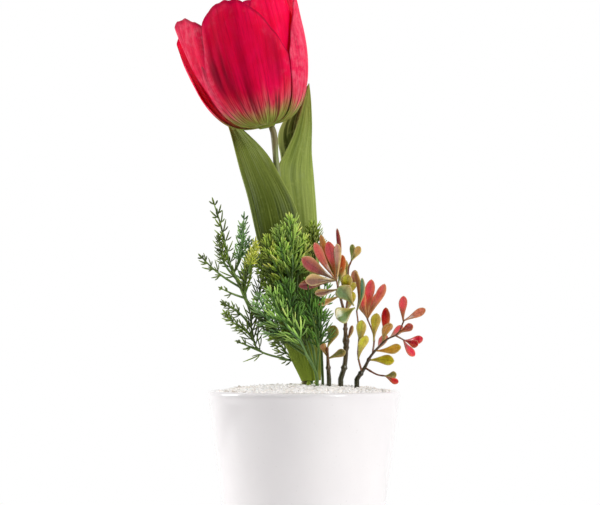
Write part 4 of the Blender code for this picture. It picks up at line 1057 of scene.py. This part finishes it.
def sprig(name, seed):
    """A sprig: a straight foot in the foam, then for each branch a tapering stalk and its frond."""
    rolls = random.Random(name)
    rng = np.random.default_rng(seed)
    thick = STEMS[name][2]
    parts = []
    for order, (path, pairs, length, start, greens) in enumerate(SPRIGS[name] + FILLING.get(name, [])):
        path = footed(name, path) if order == 0 else path
        line = rail(path, 60)
        widest = STALKS[name] if order == 0 else SIDE_STALK
        radius = widest - (widest - STALK_TIP) * np.linspace(0, 1, 60) ** 1.6
        if order == 0:
            line = np.vstack([straight_foot(name), line])
            radius = np.concatenate([[thick, thick], radius])
        share = 0.8 * np.linspace(0, 1, len(line))[:, None] ** 1.2
        tint = blend(light_of(92, 122, 48), light_of(*GREENS[greens][2]), share)
        parts.append(pipe(line, radius, 8, tint))
        roll = math.radians(rolls.uniform(-12, 12))
        parts += frond(path, pairs, length, start, roll, greens, HABITS[name], rng)
    return join(parts)


greenery = Finish("moulded greenery")
blotch = greenery.noise(greenery.places(), 260.0, 3.0)
pores = greenery.noise(greenery.places(), 1600.0, 2.0)
blotched = greenery.spread(blotch, colour(190, 200, 180), colour(255, 255, 226))
greenery.set({
    "Base Color": greenery.own_times(blotched),
    "Roughness": greenery.spread(pores, 0.32, 0.55),
    "Specular IOR Level": 0.45,
})
greenery.bump(pores, 0.08)
for k, name in enumerate(SPRIGS):
    add_piece(name + "_greenery", sprig(name, 70 + k), greenery.material, name)

# %% [markdown]
# ## Twigs of spoon-shaped leaves
# Each twig forks and carries fleshy leaves that widen past their middle, in reds, ambers and greens
# with a paler rim. A leaf is a thin sheet: its half width follows a sine of a power of the way along
# it, and it is cupped across and arched along.

# %% Paints, twigs and leaves
# Each paint: of the blade and of the narrow foot
PAINTS = {
    "red": ((240, 38, 60), (176, 110, 62)),
    "crimson": ((232, 12, 66), (190, 60, 76)),
    "coral": ((232, 92, 86), (190, 124, 80)),
    "wine": ((158, 38, 46), (112, 76, 46)),
    "brown": ((164, 112, 84), (134, 110, 60)),
    "umber": ((140, 92, 70), (120, 96, 54)),
    "blush": ((232, 170, 156), (164, 128, 90)),
    "salmon": ((230, 142, 116), (176, 124, 86)),
    "amber": ((212, 148, 60), (160, 134, 54)),
    "olive": ((148, 152, 54), (140, 150, 60)),
    "lime": ((220, 222, 46), (166, 160, 46)),
    "green": ((124, 164, 92), (140, 160, 76)),
    "teal": ((80, 160, 124), (110, 150, 96)),
    "mauve": ((170, 80, 100), (150, 100, 70)),
    "orange": ((222, 108, 56), (120, 150, 80)),
    "straw": ((246, 222, 150), (126, 148, 84)),
    "gold": ((248, 202, 50), (204, 146, 46)),
}
# Each spray: its twigs, then its leaves in clusters, with a cluster's root and each leaf's tip, width
# and paint
SPRAYS = {
    "spray_short": (
        [[(12.3, -8, 104), (11.9, -9, 112.5)]],
        [((11.9, -8.9, 112), [((15.8, -12, 123.5), 6.4, "olive")]),
         ((12.2, -8.2, 106.5), [((21, -13, 110.6), 4.2, "olive")]),
         ((12, -8.4, 107.5), [((9, -9.5, 115), 3.6, "amber")])],
    ),
    "spray_middle": (
        [[(20.8, -5.5, 103), (21.6, -6, 112), (21.2, -7, 120.5), (21, -8, 128), (18.5, -13, 138),
          (16.5, -18, 146.4)],
         [(21, -8, 128), (22.6, -8, 140), (22.7, -8, 151.9), (24.4, -8, 157)]],
        [((16.5, -18, 146.4), [((0.6, -27, 146.4), 6.2, "umber"), ((-2.8, -22, 143.6), 5.4, "wine"),
          ((-1.2, -26, 157.8), 6.8, "wine"), ((5.2, -22, 165.6), 4.8, "coral"),
          ((12.2, -22, 166.2), 6, "red"), ((8.4, -19, 169.8), 3.6, "amber"),
          ((16.8, -15, 173.1), 2.4, "mauve"), ((16.8, -23, 165), 3.8, "blush")]),
         ((17.2, -16.4, 143.4), [((19.6, -15, 159.5), 4.6, "orange")]),
         ((17.4, -15.8, 142), [((5.5, -20.5, 139.5), 4.4, "umber")]),
         ((20.6, -13, 137.5), [((22.4, -19, 149.5), 5.8, "lime")]),
         ((25.4, -14, 133.6), [((17.8, -17, 143.4), 9, "green")]),
         ((26, -13, 132.6), [((16.6, -15, 127), 9.2, "green")]),
         ((22.7, -8, 142), [((26.4, -5, 152), 4.2, "blush")]),
         ((24.2, -8, 156.5), [((24.8, -6.5, 165.2), 3, "green"), ((28.6, -9, 164), 4, "straw")]),
         ((22.6, -8, 148), [((19, 1, 158), 4.6, "olive")]),
         ((21.4, -8, 131), [((25, 1.5, 141), 5.2, "lime")]),
         ((21.5, -6.2, 115), [((24.8, -8.5, 123.5), 2.4, "brown")]),
         ((20.2, -10.5, 140), [((19.6, -14.5, 153.5), 3.8, "straw")]),
         ((22.4, -8.5, 137), [((25.6, -12.5, 145.5), 4.2, "lime")]),
         ((17.8, -14.5, 138.5), [((6.8, -17.5, 134.5), 4, "amber")])],
    ),
    "spray_right": (
        [[(31.1, -7.5, 102.1), (34.5, -8, 108.3), (41.8, -9.5, 116), (47.9, -11, 119.4), (51, -11, 126)],
         [(35.2, -8, 109.2), (35.8, -5, 118), (32.6, -2.5, 126.9)],
         [(29.6, -7.3, 99.6), (27.6, -11.5, 108.3), (28, -13.5, 119.4), (26.9, -12, 131)],
         [(46.5, -10.7, 118.6), (51.2, -9.4, 116)],
         [(31, -7.5, 102), (37, -11, 98.6), (41.5, -13, 97.8)]],
        [((32.6, -2.5, 126.9), [((34.7, -4.5, 147.2), 5.2, "red"), ((41.4, -8, 144.8), 4.8, "coral"),
          ((39.4, 3, 141), 4.4, "coral"), ((28.6, 3.5, 137), 4.2, "blush"),
          ((30, -7.5, 140.5), 3.6, "red")]),
         ((35.7, -6, 115.4), [((37.2, -13, 129.8), 5.2, "lime")]),
         ((40.1, -9, 114.6), [((43.8, -16, 124.8), 5.6, "amber")]),
         ((41, -9.2, 115.2), [((42, -4, 132.8), 4.8, "red")]),
         ((50.8, -11, 125), [((50.7, -13.5, 138.6), 4.6, "red")]),
         ((51, -11, 126), [((62.2, -8.5, 132), 4.2, "salmon")]),
         ((47.9, -11, 119.4), [((55.4, -16, 123.6), 4.2, "coral")]),
         ((51.2, -9.4, 116), [((61, -7, 116.8), 4.4, "crimson"), ((58, -14.5, 113.4), 4.2, "crimson")]),
         ((50.8, -9.4, 116.2), [((56.8, -3.5, 107.8), 4.2, "crimson")]),
         ((36.4, -8.4, 110.6), [((49.4, -15, 112.4), 5.4, "gold")]),
         ((33, -7.8, 105.8), [((46, -12, 105.4), 5.4, "lime")]),
         ((28.2, -13.3, 112), [((29.4, -18.5, 126.3), 5.2, "lime")]),
         ((27.6, -11.7, 106), [((31.6, -17, 118.5), 5.4, "lime")]),
         ((26.9, -12, 131), [((26.2, -9, 151.5), 2.8, "brown"), ((29.6, -14.5, 147.8), 2.6, "teal")]),
         ((41.5, -13, 97.8), [((47, -16, 98.8), 3.6, "olive"), ((48, -14, 94.4), 3.4, "red")]),
         ((37, -8.4, 111.2), [((42, 4, 119), 5, "coral")]),
         ((44, -10, 117.2), [((51, 0, 123), 4.4, "red")])],
    ),
}


# %% The spoon leaves
SPOON_ROWS, SPOON_COLUMNS, SPOON_FOOT = 25, 11, 0.38


def spoon_leaves(name, rng):
    """All leaves of a spray as one array. With s from root to tip and u across: half width =
    0.38 + (w/2 - 0.38) sin(pi s^2.2)^0.8, arched by 0.1 length sin(pi s), cupped by u^2."""
    facing = random.Random(name)
    leaves = [(root, *leaf) for root, cluster in SPRAYS[name][1] for leaf in cluster]
    roots, tips, widths, paints = zip(*leaves)
    root, tip, width = np.array(roots, float), np.array(tips, float), np.array(widths)[:, None]
    paint = np.array([[light_of(*shade) for shade in PAINTS[each]] for each in paints])
    front = np.array([(facing.uniform(-0.5, 0.5), -1, facing.uniform(-0.2, 0.5)) for _ in leaves])
    axis = tip - root
    across = unit(np.cross(axis, front))
    normal = unit(np.cross(across, axis))
    length = np.linalg.norm(axis, axis=1)[:, None]
    s, u = np.linspace(0, 1, SPOON_ROWS) ** 0.9, np.linspace(-1, 1, SPOON_COLUMNS)
    half = SPOON_FOOT + (width / 2 - SPOON_FOOT) * np.sin(math.pi * np.minimum(s, 0.995) ** 2.2) ** 0.8
    half[:, -1] = 0.10
    lean = rng.normal(0, 0.03, (len(leaves), 1))
    centre = root[:, None] + axis[:, None] * s[:, None] \
        - normal[:, None] * (0.10 * length * np.sin(math.pi * s))[..., None] \
        + across[:, None] * (lean * length * np.sin(math.pi * s))[..., None]
    cup = (0.16 * half)[..., None] * u**2 - (0.06 * half)[..., None] * hump(u, 0, 0.16)
    grid = (centre[:, :, None] + across[:, None, None] * (half[..., None] * u)[..., None]
            + normal[:, None, None] * cup[..., None])
    thick = 0.12 + 0.38 * (1 - u**2)[None, None] * ease(1 - s, 0.0, 0.2)[None, :, None]
    blade = ease(s, 0.25, 0.65)[None, :, None, None]
    tint = blend(paint[:, 1][:, None, None], paint[:, 0][:, None, None], blade)
    reds = paint[:, 0, 0] > 2.5 * paint[:, 0, 1]
    calm = np.where(reds, 0.45, 1.0)[:, None, None, None]
    lit = calm * rng.uniform(0.15, 0.6, (len(leaves), 1, 1, 1)) * ease(u, -0.2, 0.9)[None, None, :, None]
    tint = blend(tint, light_of(255, 226, 140), lit)
    rim = np.maximum(ease(np.abs(u), 0.70, 0.97), ease(s, 0.95, 1.0)[:, None])[None, :, :, None]
    tint = blend(tint, light_of(236, 220, 160), 0.65 * calm * rim)
    spine = 0.35 * hump(u, 0, 0.10)[None, None, :, None] * (1 - 0.5 * blade)
    tint = tint * (1 - spine)
    tint = tint * rng.uniform(0.88, 1.12, (len(leaves), 1, 1, 1))
    place = np.stack(np.broadcast_arrays((u + 1) / 2, s[:, None]), -1)
    return sheets(grid, thick, tint, np.broadcast_to(place, (len(leaves), *place.shape)))


# %% The twigs
# How each spray's twigs narrow: the power of the share that is left to the tip
TAPERS = {"spray_short": 0.7, "spray_middle": 0.8, "spray_right": 2.4}
TWIG_TIP, SIDE_TWIG, KNOT_HEIGHT = 0.42, 0.58, 115.7


def twig_parts(name, rng):
    """Twigs: tapering rods with a swollen ring every few millimetres. A main twig turns from
    grey-green to bark brown on its way up, and the middle spray's has a thick knot."""
    thick = STEMS[name][2]
    parts = []
    for order, path in enumerate(SPRAYS[name][0]):
        path = footed(name, path) if order == 0 else path
        count = 12 * (len(path) - 1) + 1
        line = rail(path, count)
        fall = (1 - np.linspace(0, 1, count)) ** TAPERS[name]
        radius = TWIG_TIP + ((thick if order == 0 else SIDE_TWIG) - TWIG_TIP) * fall
        knots = np.maximum(0, np.cos(np.arange(count) * 0.45 + rng.uniform(0, 6))) ** 8
        radius = radius * (1 + (0.45 if order == 0 else 0.2) * knots)
        if name == "spray_middle" and order == 0:
            radius = radius * (1 + 0.75 * hump(line[:, 2], KNOT_HEIGHT, 2.0))
        share = np.linspace(0, 1, count)[:, None] ** 1.3
        low, high = light_of(66, 68, 44), light_of(136, 92, 58)
        tint = blend(low, high, share) if order == 0 else np.repeat(high[None], count, 0)
        tint = tint * rng.uniform(0.85, 1.15)
        if order == 0:
            line = np.vstack([straight_foot(name), line])
            radius = np.concatenate([[thick, thick], radius])
            tint = np.vstack([tint[:1], tint[:1], tint])
        parts.append(pipe(line, radius, 10, tint))
    return parts


# %% The sprays' finish, glossy and a little waxy
spoon = Finish("moulded spoon leaves")
flow = spoon.noise(spoon.places((1, 1, 0.6)), 380.0, 4.0, 0.6, 0.5)
pores = spoon.noise(spoon.places(), 1500.0, 2.0)
flowing = spoon.spread(flow, colour(205, 190, 170), colour(255, 250, 238))
spoon.set({
    "Base Color": spoon.own_times(flowing),
    "Roughness": spoon.spread(pores, 0.22, 0.42),
    "Specular IOR Level": 0.5,
    "Coat Weight": 0.5,
    "Coat Roughness": 0.18,
    "Subsurface Weight": 0.25,
    "Subsurface Radius": (0.003, 0.0015, 0.0008),
    "Subsurface Scale": 1.0,
})
spoon.bump(spoon.math("ADD", flow, spoon.math("MULTIPLY", pores, 0.3)), 0.10)
for k, name in enumerate(SPRAYS):
    rng = np.random.default_rng(90 + k)
    add_piece(name + "_leaves", join(twig_parts(name, rng) + [spoon_leaves(name, rng)]), spoon.material,
              name)

# %% [markdown]
# ## What stays as it is
# The foam block that holds the stems is out of sight inside the pot. Its solid is kept and only gets
# a finish: an open-celled grey-green foam.

# %% Foam
foam = Finish("floral foam")
cells = foam.node("TexVoronoi", {"Vector": foam.places(), "Scale": 1200.0}).outputs["Distance"]
foam.set({"Base Color": foam.ramp(cells, (0.0, colour(70, 84, 60)), (0.6, colour(150, 160, 128))),
          "Roughness": 0.95})
foam.bump(cells, 0.3)
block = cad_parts["foam_block"]
block.data.materials.clear()
block.data.materials.append(foam.material)

# %% [markdown]
# ## Floor, light and camera
# The photograph is a cut-out on pure white. A white world gives the ground and most of the light; it
# is dimmer from the front, which draws the soft grey band down the middle of the glossy pot. A soft
# lamp on the right front models the petals, and another, a little stronger, fills from the left.

# %% The floor
FLOOR_RADIUS, FLOOR_SIDES, FLOOR_DROP = 0.38, 96, 0.0002
corners = [(FLOOR_RADIUS * math.cos(a), FLOOR_RADIUS * math.sin(a), -FLOOR_DROP)
           for a in np.arange(FLOOR_SIDES) * math.tau / FLOOR_SIDES]
floor_mesh = bpy.data.meshes.new("floor")
floor_mesh.from_pydata(corners, [], [tuple(range(FLOOR_SIDES))])
floor = bpy.data.objects.new("floor", floor_mesh)
bpy.context.scene.collection.objects.link(floor)
ground = Finish("pale floor")
uneven = ground.noise(ground.places(), 40.0)
ground.set({"Base Color": ground.spread(uneven, colour(246, 246, 246), colour(252, 252, 252)),
            "Roughness": 0.7})
floor_mesh.materials.append(ground.material)

# %% The white world
DIM_SIDE = math.radians(32)
world = bpy.data.worlds.new("studio")
bpy.context.scene.world = world
world.use_nodes = True
world.node_tree.nodes.clear()
studio = Graph(world.node_tree)
facing = studio.node("VectorMath", {0: studio.node("TexCoord").outputs["Generated"],
                                    1: (math.sin(DIM_SIDE), math.cos(DIM_SIDE), 0.0)},
                     operation="DOT_PRODUCT").outputs["Value"]
glow = studio.node("MapRange", {"Value": facing, "From Min": -0.85, "From Max": 0.30,
                                "To Min": 0.0, "To Max": 0.99}).outputs["Result"]
seen = studio.node("LightPath").outputs["Is Camera Ray"]
strength = studio.node("Mix", {0: seen, 2: glow, 3: 1.0}, data_type="FLOAT").outputs[0]
background = studio.node("Background", {"Color": (1.0, 1.0, 1.0, 1.0), "Strength": strength}).outputs[0]
studio.node("OutputWorld", {0: background})

# %% Lamps
LAMP_AIM = (-0.01, 0.0, 0.18)


def facing_point(placed, place, point):
    """Put a lamp or a camera into the scene at a place, looking at a point along its own -Z."""
    placed.location = place
    placed.rotation_euler = (Vector(point) - Vector(place)).to_track_quat("-Z", "Y").to_euler()
    bpy.context.scene.collection.objects.link(placed)


# Each lamp: place, size in metres and power in watts
LAMPS = {"key": ((0.80, -0.95, 0.75), 0.5, 9.0), "fill": ((-1.15, 0.20, 0.45), 0.6, 10.5)}
for name, (place, size, power) in LAMPS.items():
    light = bpy.data.lights.new(name, "AREA")
    light.size = size
    light.energy = power
    facing_point(bpy.data.objects.new(name, light), place, LAMP_AIM)

# %% The camera, a long lens a little above the height of the pot's rim
CAMERA_PLACE, CAMERA_AIM = (-0.00206, -1.3, 0.128), (-0.00206, 0.0, 0.16110)
# The picture's width, how much of it a metre takes up at the point aimed at, and the sensor in mm
VIEW_PIXELS, PIXELS_PER_METRE, SENSOR = 600, 1940, 36.0
camera_data = bpy.data.cameras.new("camera")
camera = bpy.data.objects.new("camera", camera_data)
facing_point(camera, CAMERA_PLACE, CAMERA_AIM)
camera_data.sensor_width = SENSOR
camera_data.lens = SENSOR * math.dist(camera.location, CAMERA_AIM) / (VIEW_PIXELS / PIXELS_PER_METRE)
bpy.context.scene.camera = camera
bpy.context.scene.view_settings.view_transform = "Standard"
print("focal length:", round(camera_data.lens, 1), "mm")
